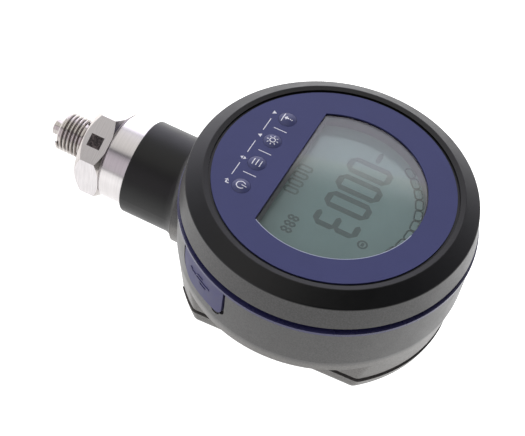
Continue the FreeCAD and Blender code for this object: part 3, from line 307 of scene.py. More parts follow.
# laser-annealed field: the beam leaves a brown-black oxide, patchy and dull
oxideLook = {"blotchMm": 0.8, "colours": ("#15100f", "#6a6060"), "gloss": (0.45, 0.7), "metal": 0.3}
laserOxide, tree, shader, place = newFinish("laserOxide")
blotch = addNode(tree, "ShaderNodeTexNoise", None, {
    "Vector": place, "Scale": 1000 / oxideLook["blotchMm"], "Detail": 3.0, "Roughness": 0.7})
tint = addNode(tree, "ShaderNodeValToRGB", {"stops": list(zip((0.4, 0.64), oxideLook["colours"]))}, {"Fac": blotch})
gloss = addNode(tree, "ShaderNodeMapRange", None, {
    "Value": blotch, "From Min": 0.3, "From Max": 0.7,
    "To Min": oxideLook["gloss"][0], "To Max": oxideLook["gloss"][1]})
setInputs(tree, shader, {"Base Color": tint, "Roughness": gloss, "Metallic": oxideLook["metal"]})

# which finish each of the CAD's material slots takes
finishes.update({
    "case_plastic": sparkErodedPolyamide, "ring_plastic": polishedBluePolycarbonate, "foil_film": printedVelvetFoil,
    "key_film": embossedKeyFoil, "frame_plastic": greyDisplayFrame, "flap_rubber": softBlueElastomer,
    "screw_steel": platedZinc, "window_pane": castAcrylicPane, "lcd_face": reflectiveCell,
    "board_laminate": lacqueredLaminate, "cell_wrap": printedShrinkSleeve, "stainless": turnedStainless})
print("finishes made,", len(finishes))

for node in nodes.values():
    for i, old in enumerate(node.data.materials):
        node.data.materials[i] = finishes[old.name.split(".")[0]]
nodes["display_window"].visible_shadow = False  # light reaches the display through the clear pane
print("CAD nodes finished")


def settle(piece, body, smooth=None):
    if smooth is not None:
        piece.data.shade_smooth()
        piece.data.set_sharp_from_angle(angle=math.radians(smooth))
    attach(piece, body)
    return piece


def newPiece(name, mesh, body, finish, smooth=None):
    piece = bpy.data.objects.new(name, mesh)
    scene.collection.objects.link(piece)
    for item in finish if isinstance(finish, list) else [finish]:
        mesh.materials.append(item)
    return settle(piece, body, smooth)


def cleanMesh(name, bm):
    bmesh.ops.remove_doubles(bm, verts=bm.verts, dist=1e-7)
    bmesh.ops.recalc_face_normals(bm, faces=bm.faces)
    mesh = bpy.data.meshes.new(name)
    bm.to_mesh(mesh)
    bm.free()
    return mesh


# process fitting: turned round the stem axis, with the hexagon's curved bevel lines
fittingLook = {
    "steps": 360, "flats": 27.0, "turn": 2.15, "hexFront": -81.2, "hexBack": -72.4, "smooth": 24,
    "bevelFrom": 13.15, "bevelRun": (0.25, 0.02), "bevelBack": 13.75, "backSlope": 0.8,
    # spigot, thread core and relief, from the bore out
    "front": [(1.5, -95.7), (2.2, -95.7), (2.6, -95.3), (2.6, -92.75), (2.75, -92.4), (5.25, -92.4),
              (5.62, -92.05), (5.72, -91.9), (5.72, -84.2), (5.4, -83.7), (5.4, -81.4), (5.6, -81.2)],
    # tool relief, collar, bearing and nose
    "rear": [(12.8, -72.4), (12.8, -71.8), (13.75, -71.8), (13.9, -71.65), (13.9, -63.75), (13.75, -63.6),
             (11.0, -63.6), (11.0, -60.7), (9.25, -60.7), (9.25, -58.3), (11.0, -58.3), (11.0, -50.35),
             (9.7, -50.35), (9.7, -49.25), (10.6, -49.25), (10.6, -48.75), (9.0, -48.35), (9.0, -45.5),
             (1.5, -45.5)],
}


def hexRadius(angle):
    turned = (math.degrees(angle) - fittingLook["turn"] + 30) % 60 - 30
    return fittingLook["flats"] / 2 / math.cos(math.radians(30 - abs(turned)))


def fittingMesh(look):
    bm = bmesh.new()
    columns = []
    inward, rise = look["bevelRun"]
    for i in range(look["steps"]):
        angle = math.radians(look["turn"]) + 2 * math.pi * i / look["steps"]
        wall = hexRadius(angle)
        rings = list(look["front"])
        rings += [(look["bevelFrom"] - inward, look["hexFront"]), (look["bevelFrom"], look["hexFront"] + rise)]
        start = look["hexFront"] + wall - look["bevelFrom"]
        # the rear bevel starts at the collar and takes the corners off
        end = look["hexBack"] - max(0.0, wall - look["bevelBack"]) * look["backSlope"]
        rings += [(wall, start), (wall, end), (min(wall, look["bevelBack"]), look["hexBack"])]
        rings += look["rear"]
        columns.append([bm.verts.new((r * math.sin(angle) * mm, y * mm, (stemAxis + r * math.cos(angle)) * mm))
                        for r, y in rings])
    count = len(columns[0])
    flat = len(look["front"]) + 2
    cut = list(range(len(look["front"]))) + [flat - 1, flat + 1]
    for i, column in enumerate(columns):
        other = columns[(i + 1) % len(columns)]
        for j in range(count):
            k = (j + 1) % count
            face = bm.faces.new((column[j], column[k], other[k], other[j]))
            face.material_index = 1 if j == flat else 2 if j in cut else 0
    return cleanMesh("process_fitting_turned", bm)


fitting = newPiece("process_fitting_turned", fittingMesh(fittingLook), "connection",
                   [turnedStainless, milledStainless, cutStainless], fittingLook["smooth"])
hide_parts("process_fitting")
print("fitting turned,", len(fitting.data.polygons), "faces")


def newTree(name, look):
    # one named input for each value of the look
    tree = bpy.data.node_groups.new(name, "GeometryNodeTree")
    tree.interface.new_socket("Geometry", in_out="INPUT", socket_type="NodeSocketGeometry")
    for label, value in look.items():
        kind = {int: "Int", float: "Float"}.get(type(value), "Material")
        tree.interface.new_socket(label, in_out="INPUT", socket_type="NodeSocket" + kind)
    tree.interface.new_socket("Geometry", in_out="OUTPUT", socket_type="NodeSocketGeometry")
    return tree, addNode(tree, "NodeGroupInput").outputs


def endTree(tree, geometry, finish):
    real = addNode(tree, "GeometryNodeRealizeInstances", None, {"Geometry": geometry})
    painted = addNode(tree, "GeometryNodeSetMaterial", None, {"Geometry": real, "Material": finish})
    addNode(tree, "NodeGroupOutput", None, {"Geometry": painted})


def bakeTree(name, tree, values, points=()):
    mesh = bpy.data.meshes.new(name)
    mesh.from_pydata(points, [], [])
    carrier = bpy.data.objects.new(name, mesh)
    scene.collection.objects.link(carrier)
    modifier = carrier.modifiers.new(tree.name, "NODES")
    modifier.node_group = tree
    for item in tree.interface.items_tree:
        if item.in_out == "INPUT" and item.name in values:
            modifier[item.identifier] = values[item.name]
    ready = carrier.evaluated_get(bpy.context.evaluated_depsgraph_get())
    baked = bpy.data.meshes.new_from_object(ready)
    carrier.modifiers.remove(modifier)
    carrier.data = baked
    baked.name = name
    return carrier


# pipe thread: a ridge of one tooth swept along a spiral on the fitting's core
threadLook = {"Core": 5.70 * mm, "Tooth": 0.88 * mm, "Root": 1.26 * mm, "Crest": 0.24 * mm, "Pitch": 1.337 * mm,
              "Turns": 5.7, "Start": -91.95 * mm, "Axis": stemAxis * mm, "Steps": 72, "Finish": rolledThread}
tree, given = newTree("pipeThread", threadLook)
threadLength = addNode(tree, "ShaderNodeMath", "MULTIPLY", {0: given["Pitch"], 1: given["Turns"]})
spiral = addNode(tree, "GeometryNodeCurveSpiral", None, {
    "Resolution": given["Steps"], "Rotations": given["Turns"], "Start Radius": given["Core"],
    "End Radius": given["Core"], "Height": threadLength, "Reverse": True})
upright = addNode(tree, "GeometryNodeSetCurveNormal", {"mode": "Z_UP"}, {"Curve": spiral})
along = addNode(tree, "GeometryNodeSplineParameter")
# the ridge runs in at the tip and out at the relief
runIn, runOut = [addNode(tree, "ShaderNodeMapRange", softEnds, {
    "Value": along, "From Min": start, "From Max": end, "To Min": low, "To Max": high})
    for start, end, low, high in ((0.0, 0.1, 0.1, 1.0), (0.93, 1.0, 1.0, 0.3))]
swell = addNode(tree, "ShaderNodeMath", "MINIMUM", {0: runIn, 1: runOut})
sized = addNode(tree, "GeometryNodeSetCurveRadius", None, {"Curve": upright, "Radius": swell})
tooth = addNode(tree, "GeometryNodeCurvePrimitiveQuadrilateral", {"mode": "TRAPEZOID"}, {
    "Height": given["Tooth"], "Bottom Width": given["Root"], "Top Width": given["Crest"], "Offset": 0.0})
half = addNode(tree, "ShaderNodeMath", "MULTIPLY", {0: given["Tooth"], 1: 0.5})
seat = addNode(tree, "ShaderNodeCombineXYZ", None, {"Y": half})
seated = addNode(tree, "GeometryNodeTransform", None, {"Geometry": tooth, "Translation": seat})
outward = addNode(tree, "GeometryNodeTransform", None, {
    "Geometry": seated, "Rotation": (0.0, 0.0, math.radians(-90))})
swept = addNode(tree, "GeometryNodeCurveToMesh", None, {"Curve": sized, "Profile Curve": outward, "Fill Caps": True})
there = addNode(tree, "ShaderNodeCombineXYZ", None, {"Y": given["Start"], "Z": given["Axis"]})
placed = addNode(tree, "GeometryNodeTransform", None, {
    "Geometry": swept, "Translation": there, "Rotation": (math.radians(-90), 0.0, 0.0)})
endTree(tree, placed, given["Finish"])
thread = settle(bakeTree("process_thread", tree, threadLook), "connection", 25)
print("thread cut,", len(thread.data.polygons), "faces")

# laser field on the flat that faces up
markLook = {"across": (-1.37, 2.8), "along": (-79.1, -74.6), "lift": 0.012, "depth": 0.05, "steps": 12}


def markMesh(look):
    flat = math.radians(fittingLook["turn"] + 30)
    outward = Vector((math.sin(flat), 0, math.cos(flat)))
    across = Vector((math.cos(flat), 0, -math.sin(flat)))
    middle = Vector((0, 0, stemAxis)) + outward * fittingLook["flats"] / 2
    bm = bmesh.new()
    steps = look["steps"]
    (u0, u1), (y0, y1) = look["across"], look["along"]
    for layer in (look["lift"], -look["depth"]):
        for i in range(steps + 1):
            for j in range(steps + 1):
                u, y = u0 + (u1 - u0) * i / steps, y0 + (y1 - y0) * j / steps
                bm.verts.new((middle + across * u + outward * layer + Vector((0, y, 0))) * mm)
    bm.verts.ensure_lookup_table()
    row, sheet = steps + 1, (steps + 1) ** 2
    for i in range(steps):
        for j in range(steps):
            for corner in (i * row + j, sheet + i * row + j):
                bm.faces.new([bm.verts[corner + k] for k in (0, 1, row + 1, row)])
    rim = [i * row for i in range(row)] + [steps * row + j for j in range(1, row)]
    rim += [i * row + steps for i in range(steps - 1, -1, -1)] + [j for j in range(steps - 1, 0, -1)]
    for a, b in zip(rim, rim[1:] + rim[:1]):
        bm.faces.new([bm.verts[k] for k in (a, b, b + sheet, a + sheet)])
    return cleanMesh("laser_field", bm)


newPiece("laser_field", markMesh(markLook), "connection", laserOxide)
print("laser field laid")


def ribbon(points, width, closed=False, step=0.25):
    # a stroke of even width, cut short enough to lie on a curved face
    path = []
    ends = points + points[:1] if closed else points
    for a, b in zip(ends, ends[1:]):
        cuts = max(1, math.ceil(math.dist(a, b) / step))
        path += [(a[0] + (b[0] - a[0]) * k / cuts, a[1] + (b[1] - a[1]) * k / cuts) for k in range(cuts)]
    if not closed:
        path.append(points[-1])
    left, right = [], []
    for i, spot in enumerate(path):
        before = path[i - 1] if i or closed else spot
        after = path[(i + 1) % len(path)] if i + 1 < len(path) or closed else spot
        a = Vector((spot[0] - before[0], spot[1] - before[1])).normalized()
        b = Vector((after[0] - spot[0], after[1] - spot[1])).normalized()
        run = (a + b).normalized()
        side = Vector((-run.y, run.x)) * width / 2 / max(0.5, run.dot(b if b.length else a))
        left.append((spot[0] + side.x, spot[1] + side.y))
        right.append((spot[0] - side.x, spot[1] - side.y))
    return [left, right, closed]


def arcPath(centre, radius, fromDegrees, toDegrees, steps=32):
    angles = [math.radians(fromDegrees + (toDegrees - fromDegrees) * i / steps) for i in range(steps + 1)]
    return [(centre[0] + radius * math.cos(a), centre[1] + radius * math.sin(a)) for a in angles]


def filmPiece(name, shapes, lay, thick, body, finish):
    # shapes are ribbons or plain outlines; each becomes a thin closed film on the face
    bm = bmesh.new()
    for shape in shapes:
        if isinstance(shape[0], tuple):
            top = [bm.verts.new(lay(u, v, thick)) for u, v in shape]
            low = [bm.verts.new(lay(u, v, -thick)) for u, v in shape]
            bm.faces.new(top)
            bm.faces.new(low[::-1])
            for i in range(len(top)):
                j = (i + 1) % len(top)
                bm.faces.new((top[i], low[i], low[j], top[j]))
            continue
        left, right, closed = shape
        rows = [[bm.verts.new(lay(u, v, h)) for u, v in edge] for edge in (left, right) for h in (thick, -thick)]
        last = len(left) if closed else len(left) - 1
        for i in range(last):
            j = (i + 1) % len(left)
            for a, b in ((0, 2), (2, 3), (3, 1), (1, 0)):
                bm.faces.new((rows[a][i], rows[a][j], rows[b][j], rows[b][i]))
        if not closed:
            for i in (0, last):
                bm.faces.new((rows[0][i], rows[2][i], rows[3][i], rows[1][i]))
    return newPiece(name, cleanMesh(name, bm), body, finish)


# icons on the embossed domes; spots give each key's body and its place in the row, in pitches from the middle
keysLook = {"row": -23.5, "pitch": 10.4, "domeTop": 47.7, "bow": 6.833, "stroke": 0.3, "ink": 0.02,
            "arrowHead": 0.24, "arrowShaft": 0.5,
            "spots": {"key_power": ("power_key", 1.5), "key_menu": ("menu_key", 0.5),
                      "key_light": ("light_key", -0.5), "key_zero": ("zero_key", -1.5)}}
stroke, arrow, shaft = keysLook["stroke"], keysLook["arrowHead"], keysLook["arrowShaft"]
sunRays = [ribbon([(r * math.cos(a), r * math.sin(a)) for r in (1.3, 1.85)], stroke)
           for a in [math.pi / 4 * k for k in range(8)]]
keyIcons = {
    "key_power": [ribbon(arcPath((0, -0.1), 1.35, 125, 415), stroke), ribbon([(0, 0.1), (0, 1.7)], stroke)],
    "key_menu": [ribbon([(-1.25, y), (1.25, y)], stroke) for y in (-1.15, 0.05, 1.25)],
    "key_light": [ribbon(arcPath((0, 0), 0.85, 0, 348.75, 31), stroke, True)] + sunRays,
    # a bar, the arrow's head in four steps and its broken shaft
    "key_zero": [ribbon([(-1.7, -1.45), (1.7, -1.45)], stroke),
                 *[ribbon([(-wide, y), (wide, y)], arrow)
                   for wide, y in ((0.1, -0.95), (0.3, -0.74), (0.5, -0.53), (0.7, -0.32))],
                 *[ribbon([(0, low), (0, high)], shaft) for low, high in ((-0.2, 0.45), (0.75, 1.05), (1.35, 1.6))]],
}
for key, shapes in keyIcons.items():
    body, place = keysLook["spots"][key]

    def onDome(u, v, lift, middle=place * keysLook["pitch"]):
        sag = keysLook["bow"] - math.sqrt(keysLook["bow"] ** 2 - u * u - v * v)
        return Vector((middle + u, keysLook["row"] + v, keysLook["domeTop"] - sag + lift)) * mm

    filmPiece(key + "_icon", shapes, onDome, keysLook["ink"], body, screenPrintedWhite)
print("key icons printed")

# lines and small marks printed on the foil, and the clear border that the print leaves at the window's edge, drawn as
# a light line only along its near arc: a painted highlight
flatStep = 5  # mm, long strokes need no cuts on a flat face
foilPrintLook = {
    "top": 47.1, "ink": 0.015, "divider": 0.28, "dividers": (10.2, 0.1, -10.5), "dividerEnds": (-25.6, -21.3),
    "link": 0.26, "links": ((-13.3, -7.9), (-2.7, 2.7), (7.6, 13.0)), "linkRow": -28.0,
    # triangles by middle, half width and rise; the last mark is a bent arrow
    "triangles": ((-16.1, -28.0, 0.75, 1.2), (-5.5, -28.0, 0.75, -1.2),
                  (5.3, -27.45, 0.65, 0.85), (5.3, -28.6, 0.65, -0.85)),
    "bentHead": [(15.0, -28.2), (15.8, -28.9), (15.8, -27.5)],
    "bentLine": [(15.6, -28.2), (16.6, -28.2), (16.6, -27.2)], "bentStroke": 0.35,
    "border": 0.18, "borderRadius": 28.36, "borderEnds": (-29.5, 78),
}


def onFoil(u, v, lift):
    return Vector((u, v, foilPrintLook["top"] + lift)) * mm


def triangle(x, y, half, rise):
    corners = [(x - half, y - rise / 2), (x + half, y - rise / 2), (x, y + rise / 2)]
    return corners if rise > 0 else corners[::-1]


look = foilPrintLook
foilShapes = [ribbon([(x, y) for y in look["dividerEnds"]], look["divider"], step=flatStep) for x in look["dividers"]]
foilShapes += [ribbon([(x, look["linkRow"]) for x in ends], look["link"], step=flatStep) for ends in look["links"]]
foilShapes += [triangle(*mark) for mark in look["triangles"]]
foilShapes += [look["bentHead"], ribbon(look["bentLine"], look["bentStroke"], step=flatStep)]
filmPiece("foil_print", foilShapes, onFoil, look["ink"], "head", screenPrintedWhite)
# the light rim line runs only round the near arc of the window: a painted highlight
border = ribbon(arcPath((0, 0), look["borderRadius"], *look["borderEnds"], 120), look["border"], step=flatStep)
filmPiece("foil_rim_highlight", [border], onFoil, look["ink"], "head", foilRimHighlight)
print("foil printed")

# figures on the display in segment digits: the reading, a unit field beside it and a second line
displayLook = {"face": 41.6, "ink": 0.02, "gap": 0.02,
               "sign": ((-23.4, 6.3), (-18.4, 6.3)), "signStroke": 1.6, "signGap": 0.1,
               "stateAt": (12.6, 15.8), "stateRadius": 1.35, "stateRing": 0.6,
               "stateBar": 0.9, "stateEnds": [(11.9, 15.8), (13.3, 15.8)]}
digitFields = {
    "reading": {"digits": "0003", "left": -17.9, "pitch": 7.9, "low": -1.5, "wide": 6.8, "high": 14.7, "stroke": 1.95},
    "unit": {"digits": "888", "left": 13.2, "pitch": 2.5, "low": -8.0, "wide": 2.1, "high": 3.8, "stroke": 0.75},
    "second": {"digits": "0000", "left": -6.4, "pitch": 3.3, "low": -14.0, "wide": 2.6, "high": 4.9, "stroke": 0.7},
}
segmentsOf = {"0": "ardl", "3": "abcdg", "8": "abcdefg"}  # r and l are the two bars of a side as one


def onDisplay(u, v, lift):
    return Vector((u, v, displayLook["face"] + lift)) * mm


def segmentBar(a, b, stroke, gap):
    # a bar with pointed ends between two corners of the digit
    run = Vector((b[0] - a[0], b[1] - a[1])).normalized()
    side = Vector((-run.y, run.x)) * stroke / 2
    a, b = Vector(a) + run * gap, Vector(b) - run * gap
    tip = run * stroke / 2
    corners = [a, a + tip + side, b - tip + side, b, b - tip - side, a + tip - side]
    return [(p.x, p.y) for p in corners]


def fieldBars(field):
    bars = []
    inset = field["stroke"] / 2
    for k, digit in enumerate(field["digits"]):
        left = field["left"] + field["pitch"] * k
        x0, x1 = left + inset, left + field["wide"] - inset
        y0, y1 = field["low"] + inset, field["low"] + field["high"] - inset
        ym = (y0 + y1) / 2
        lines = {"a": ((x0, y1), (x1, y1)), "b": ((x1, y1), (x1, ym)), "c": ((x1, ym), (x1, y0)),
                 "d": ((x0, y0), (x1, y0)), "e": ((x0, y0), (x0, ym)), "f": ((x0, ym), (x0, y1)),
                 "g": ((x0, ym), (x1, ym)), "r": ((x1, y1), (x1, y0)), "l": ((x0, y0), (x0, y1))}
        bars += [segmentBar(*lines[part], field["stroke"], displayLook["gap"]) for part in segmentsOf[digit]]
    return bars


look = displayLook
readingShapes = [segmentBar(*look["sign"], look["signStroke"], look["signGap"])]
readingShapes += fieldBars(digitFields["reading"]) + fieldBars(digitFields["unit"])
# a state mark: a ring with a bar in it
stateRing = arcPath(look["stateAt"], look["stateRadius"], 0, 345, 23)
readingShapes += [ribbon(stateRing, look["stateRing"], True, flatStep),
                  ribbon(look["stateEnds"], look["stateBar"], step=flatStep)]
filmPiece("display_reading", readingShapes, onDisplay, look["ink"], "head", darkLiquidCrystal)
filmPiece("display_second_line", fieldBars(digitFields["second"]), onDisplay, look["ink"], "head",
          paleLiquidCrystal)

# outlined cells of the bar graph round the display's edge
barLook = {"Cells": 10, "Radius": 26.4 * mm, "First": math.radians(140.5), "Last": math.radians(58),
           "Wide": 2.3 * mm, "Long": 3.8 * mm, "Round": 0.8 * mm, "Line": 0.5 * mm, "Ink": 0.04 * mm,
           "Height": displayLook["face"] * mm, "Finish": darkLiquidCrystal}
tree, given = newTree("barGraphCells", barLook)
row = addNode(tree, "GeometryNodeMeshLine", None, {"Count": given["Cells"]})
lastCell = addNode(tree, "ShaderNodeMath", "SUBTRACT", {0: given["Cells"], 1: 1.0})
part = addNode(tree, "ShaderNodeMath", "DIVIDE", {0: addNode(tree, "GeometryNodeInputIndex"), 1: lastCell})
angle = addNode(tree, "ShaderNodeMix", {"data_type": "FLOAT"}, {
    "Factor": part, "A": given["First"], "B": given["Last"]})
spots = []
for operation in ("COSINE", "SINE"):
    turn = addNode(tree, "ShaderNodeMath", operation, {0: angle})
    spots.append(addNode(tree, "ShaderNodeMath", "MULTIPLY", {0: turn, 1: given["Radius"]}))
spot = addNode(tree, "ShaderNodeCombineXYZ", None, {"X": spots[0], "Y": spots[1], "Z": given["Height"]})
ringed = addNode(tree, "GeometryNodeSetPosition", None, {"Geometry": row, "Position": spot})
outline = addNode(tree, "GeometryNodeCurvePrimitiveQuadrilateral", {"mode": "RECTANGLE"}, {
    "Width": given["Wide"], "Height": given["Long"]})
softened = addNode(tree, "GeometryNodeFilletCurve", {"mode": "POLY"}, {
    "Curve": outline, "Count": 4, "Radius": given["Round"]})
lineCut = addNode(tree, "GeometryNodeCurvePrimitiveQuadrilateral", {"mode": "RECTANGLE"}, {
    "Width": given["Line"], "Height": given["Ink"]})
cell = addNode(tree, "GeometryNodeCurveToMesh", None, {"Curve": softened, "Profile Curve": lineCut})
facing = addNode(tree, "ShaderNodeCombineXYZ", None, {"Z": angle})
cells = addNode(tree, "GeometryNodeInstanceOnPoints", None, {"Points": ringed, "Instance": cell, "Rotation": facing})
endTree(tree, cells, given["Finish"])
bars = settle(bakeTree("display_bar_cells", tree, barLook), "head")
print("display drawn,", len(bars.data.polygons), "bar graph faces")

# cheese-head screws with a six-lobe recess, set in their sinks, heads down
screwLook = {"Head": 2.55 * mm, "Shank": 1.48 * mm, "Lobe": 1.15 * mm, "Valley": 0.78 * mm, "Recess": 1.2 * mm,
             "Soften": 0.22 * mm, "Rise": 2.2 * mm, "Length": 11.55 * mm, "Finish": platedZinc}
screwSets = {
    "battery_cover_screws": {"seat": 2.5, "at": [(17.5, 31.5), (-17.5, 31.5), (23.29, -27.5), (-23.29, -27.5)]},
    "case_screws": {"seat": 26.0, "at": [(37.2, 9.0), (37.2, -9.0), (-37.2, 9.0), (-37.2, -9.0)],
                    "Rise": 2.4 * mm, "Length": 13.45 * mm},
}
tree, given = newTree("sixLobeScrews", screwLook)
head = addNode(tree, "GeometryNodeMeshCylinder", {"fill_type": "NGON"}, {
    "Vertices": 48, "Side Segments": 6, "Fill Segments": 1, "Radius": given["Head"], "Depth": given["Rise"]})
# the outer edge of the head is rounded
position = addNode(tree, "GeometryNodeInputPosition")
spot = addNode(tree, "ShaderNodeSeparateXYZ", None, {"Vector": position})
outerFace = addNode(tree, "ShaderNodeMath", "MULTIPLY", {0: given["Rise"], 1: -0.5})
roundEnd = addNode(tree, "ShaderNodeMath", "MULTIPLY", {0: given["Rise"], 1: -0.2})
squeeze = addNode(tree, "ShaderNodeMapRange", softEnds, {
    "Value": spot.outputs["Z"], "From Min": outerFace, "From Max": roundEnd, "To Min": 0.86, "To Max": 1.0})
narrow = addNode(tree, "ShaderNodeCombineXYZ", None, {"X": squeeze, "Y": squeeze, "Z": 1.0})
rounded = addNode(tree, "ShaderNodeVectorMath", "MULTIPLY", {0: position, 1: narrow})
shaped = addNode(tree, "GeometryNodeSetPosition", None, {"Geometry": head, "Position": rounded})
# the recess is cut by a star with soft points
star = addNode(tree, "GeometryNodeCurveStar", None, {
    "Points": 6, "Inner Radius": given["Valley"], "Outer Radius": given["Lobe"]})
lobes = addNode(tree, "GeometryNodeFilletCurve", {"mode": "POLY"}, {
    "Curve": star, "Count": 4, "Radius": given["Soften"], "Limit Radius": True})
plate = addNode(tree, "GeometryNodeFillCurve", {"mode": "NGONS"}, {"Curve": lobes})
deep = addNode(tree, "ShaderNodeMath", "MULTIPLY", {0: given["Recess"], 1: 2.0})
bit = addNode(tree, "GeometryNodeExtrudeMesh", {"mode": "FACES"}, {"Mesh": plate, "Offset Scale": deep})
back = addNode(tree, "GeometryNodeFlipFaces", None, {"Mesh": plate})
closed = addNode(tree, "GeometryNodeJoinGeometry", None, {"Geometry": bit})
setInputs(tree, closed, {"Geometry": back})
welded = addNode(tree, "GeometryNodeMergeByDistance", None, {"Geometry": closed, "Distance": 1e-6})
lowStart = addNode(tree, "ShaderNodeMath", "SUBTRACT", {0: outerFace, 1: given["Recess"]})
sunk = addNode(tree, "ShaderNodeCombineXYZ", None, {"Z": lowStart})
cutter = addNode(tree, "GeometryNodeTransform", None, {"Geometry": welded, "Translation": sunk})
recessed = addNode(tree, "GeometryNodeMeshBoolean", {"operation": "DIFFERENCE", "solver": "EXACT"}, {
    "Mesh 1": shaped, "Mesh 2": cutter})
# the shank starts just inside the head
shank = addNode(tree, "GeometryNodeMeshCylinder", {"fill_type": "NGON"}, {
    "Vertices": 32, "Side Segments": 1, "Radius": given["Shank"], "Depth": given["Length"]})
halfWay = addNode(tree, "ShaderNodeMath", "MULTIPLY_ADD", {0: given["Length"], 1: 0.5, 2: given["Rise"]})
shankMiddle = addNode(tree, "ShaderNodeMath", "MULTIPLY_ADD", {0: given["Rise"], 1: -0.52, 2: halfWay})
up = addNode(tree, "ShaderNodeCombineXYZ", None, {"Z": shankMiddle})
raised = addNode(tree, "GeometryNodeTransform", None, {"Geometry": shank, "Translation": up})
whole = addNode(tree, "GeometryNodeJoinGeometry", None, {"Geometry": recessed})
setInputs(tree, whole, {"Geometry": raised})
# every screw stopped at its own angle
stopped = addNode(tree, "FunctionNodeRandomValue", {"data_type": "FLOAT"}, {"Min": 0.0, "Max": 1.05, "Seed": 7})
twist = addNode(tree, "ShaderNodeCombineXYZ", None, {"Z": stopped})
driven = addNode(tree, "GeometryNodeInstanceOnPoints", None, {
    "Points": given["Geometry"], "Instance": whole, "Rotation": twist})
endTree(tree, driven, given["Finish"])
for name, screwSet in screwSets.items():
    look = {**screwLook, **screwSet}
    points = [(x * mm, y * mm, look["seat"] * mm - look["Rise"] / 2) for x, y in look["at"]]
    screws = settle(bakeTree(name + "_driven", tree, look, points), "head", 35)
    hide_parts(name)
    print(name, "driven,", len(screws.data.polygons), "faces")

# raised lines on the flap: a stem with a dot at its foot and a branch to either side
flapReliefLook = {"radius": 45.75, "middle": -29.9, "line": 0.55, "branch": 0.45, "rise": 0.22,
                  "stem": [(-3.9, 28.6), (4.6, 28.6)], "stemStep": 0.6, "dotAt": (-5.0, 28.6), "dotRadius": 0.5,
                  "branches": ([(-2.0, 29.0), (-1.2, 29.9), (1.2, 29.9)], [(-0.3, 28.2), (0.5, 27.3), (3.0, 27.3)]),
                  "branchStep": 0.3}


def onFlap(u, v, lift):
    angle = math.radians(flapReliefLook["middle"]) + u / flapReliefLook["radius"]
    out = flapReliefLook["radius"] + lift
    return Vector((out * math.cos(angle), out * math.sin(angle), v)) * mm


look = flapReliefLook
flapShapes = [ribbon(look["stem"], look["line"], step=look["stemStep"]),
              ribbon(arcPath(look["dotAt"], look["dotRadius"], 0, 337.5, 15), look["line"], True)]
flapShapes += [ribbon(branch, look["branch"], step=look["branchStep"]) for branch in look["branches"]]
filmPiece("port_flap_relief", flapShapes, onFlap, look["rise"], "flap", softBlueElastomer)
print("flap relief raised")

# white table, lit from below: brighter towards the back, falling off softly towards the open side, and shaded
# by the fitting below the stem; places and distances in mm
tableLook = {"colour": "#8a8a88", "gloss": 0.9, "reach": 3000.0, "level": -0.05,
             "glowOver": (-90, 40), "glow": (1.0, 1.65), "openSide": (0.961, 0.275, 0.0), "fadeOver": (130, 450),
             "fade": 0.45, "shadeAt": (20, -85, 0), "shadeOver": (10, 40), "shade": 0.78}
look = tableLook
reach, level = look["reach"] * mm, look["level"] * mm  # a hair below the cover, so that the two faces don't fight
tableMesh = bpy.data.meshes.new("table")
tableMesh.from_pydata([(-reach, -reach, level), (reach, -reach, level), (reach, reach, level), (-reach, reach, level)],
                      [], [(0, 1, 2, 3)])
table = bpy.data.objects.new("table", tableMesh)
scene.collection.objects.link(table)
whitePaper, tree, shader, place = newFinish("whitePaper")
backward = addNode(tree, "ShaderNodeVectorMath", "DOT_PRODUCT", {0: place, 1: (-1.0, 0.0, 0.0)})
lamp = addNode(tree, "ShaderNodeMapRange", None, {
    "Value": backward, "From Min": look["glowOver"][0] * mm, "From Max": look["glowOver"][1] * mm,
    "To Min": look["glow"][0], "To Max": look["glow"][1]})
opening = addNode(tree, "ShaderNodeVectorMath", "DOT_PRODUCT", {0: place, 1: look["openSide"]})
near = addNode(tree, "ShaderNodeVectorMath", "DISTANCE", {0: place, 1: [c * mm for c in look["shadeAt"]]})
fade, shade = [addNode(tree, "ShaderNodeMapRange", softEnds, {
    "Value": measure, "From Min": over[0] * mm, "From Max": over[1] * mm, "To Min": start, "To Max": end})
    for measure, over, start, end in ((opening, look["fadeOver"], 1.0, look["fade"]),
                                      (near, look["shadeOver"], look["shade"], 1.0))]
unshaded = addNode(tree, "ShaderNodeMath", "MULTIPLY", {0: lamp, 1: fade})
lit = addNode(tree, "ShaderNodeMath", "MULTIPLY", {0: unshaded, 1: shade})
setInputs(tree, shader, {"Emission Strength": lit, "Emission Color": (1.0, 1.0, 1.0, 1.0),
                         "Base Color": linear(look["colour"]), "Roughness": look["gloss"]})
# the sheet is clear from below, so that the gauge's underside can be looked at
below = addNode(tree, "ShaderNodeNewGeometry").outputs["Backfacing"]
clear = addNode(tree, "ShaderNodeBsdfTransparent")
sheet = addNode(tree, "ShaderNodeMixShader", None, {0: below, 1: shader, 2: clear})
setInputs(tree, tree.nodes["Material Output"], {"Surface": sheet})
tableMesh.materials.append(whitePaper)

# light tent over the table; levels are the cloth's brightness from the tent's open side round to its back wall
# above the back wall's edge the cloth is thinner; below the table the light is an even grey
# each panel is a lamp: the way it hangs, the cosines of its soft edge, and its light
tentLook = {"levels": ((0.0, 0.02), (0.13, 0.035), (0.25, 0.07), (0.4, 0.12), (0.5, 0.145), (0.6, 0.2), (0.7, 0.24),
                       (0.85, 0.36), (0.94, 0.68), (0.98, 0.95)),
            "tint": (0.97, 0.95, 1.07), "backWall": (-0.866, -0.5, 0.0), "strength": 2.2,
            "edge": (0.736, 0.757), "most": 3.0, "top": 0.45, "ground": (-0.2, -0.1), "groundGrey": 0.75,
            "panels": (((0.0, -0.301, 0.954), (0.82, 0.9), (1.05, 1.03, 0.99)),
                       ((0.786, -0.491, 0.375), (0.87, 0.93), (1.0, 0.92, 1.0)))}
look = tentLook
tent = bpy.data.worlds.new("tent")
scene.world = tent
tent.use_nodes = True
tree = tent.node_tree
tree.nodes.clear()
towards = addNode(tree, "ShaderNodeTexCoord").outputs["Generated"]
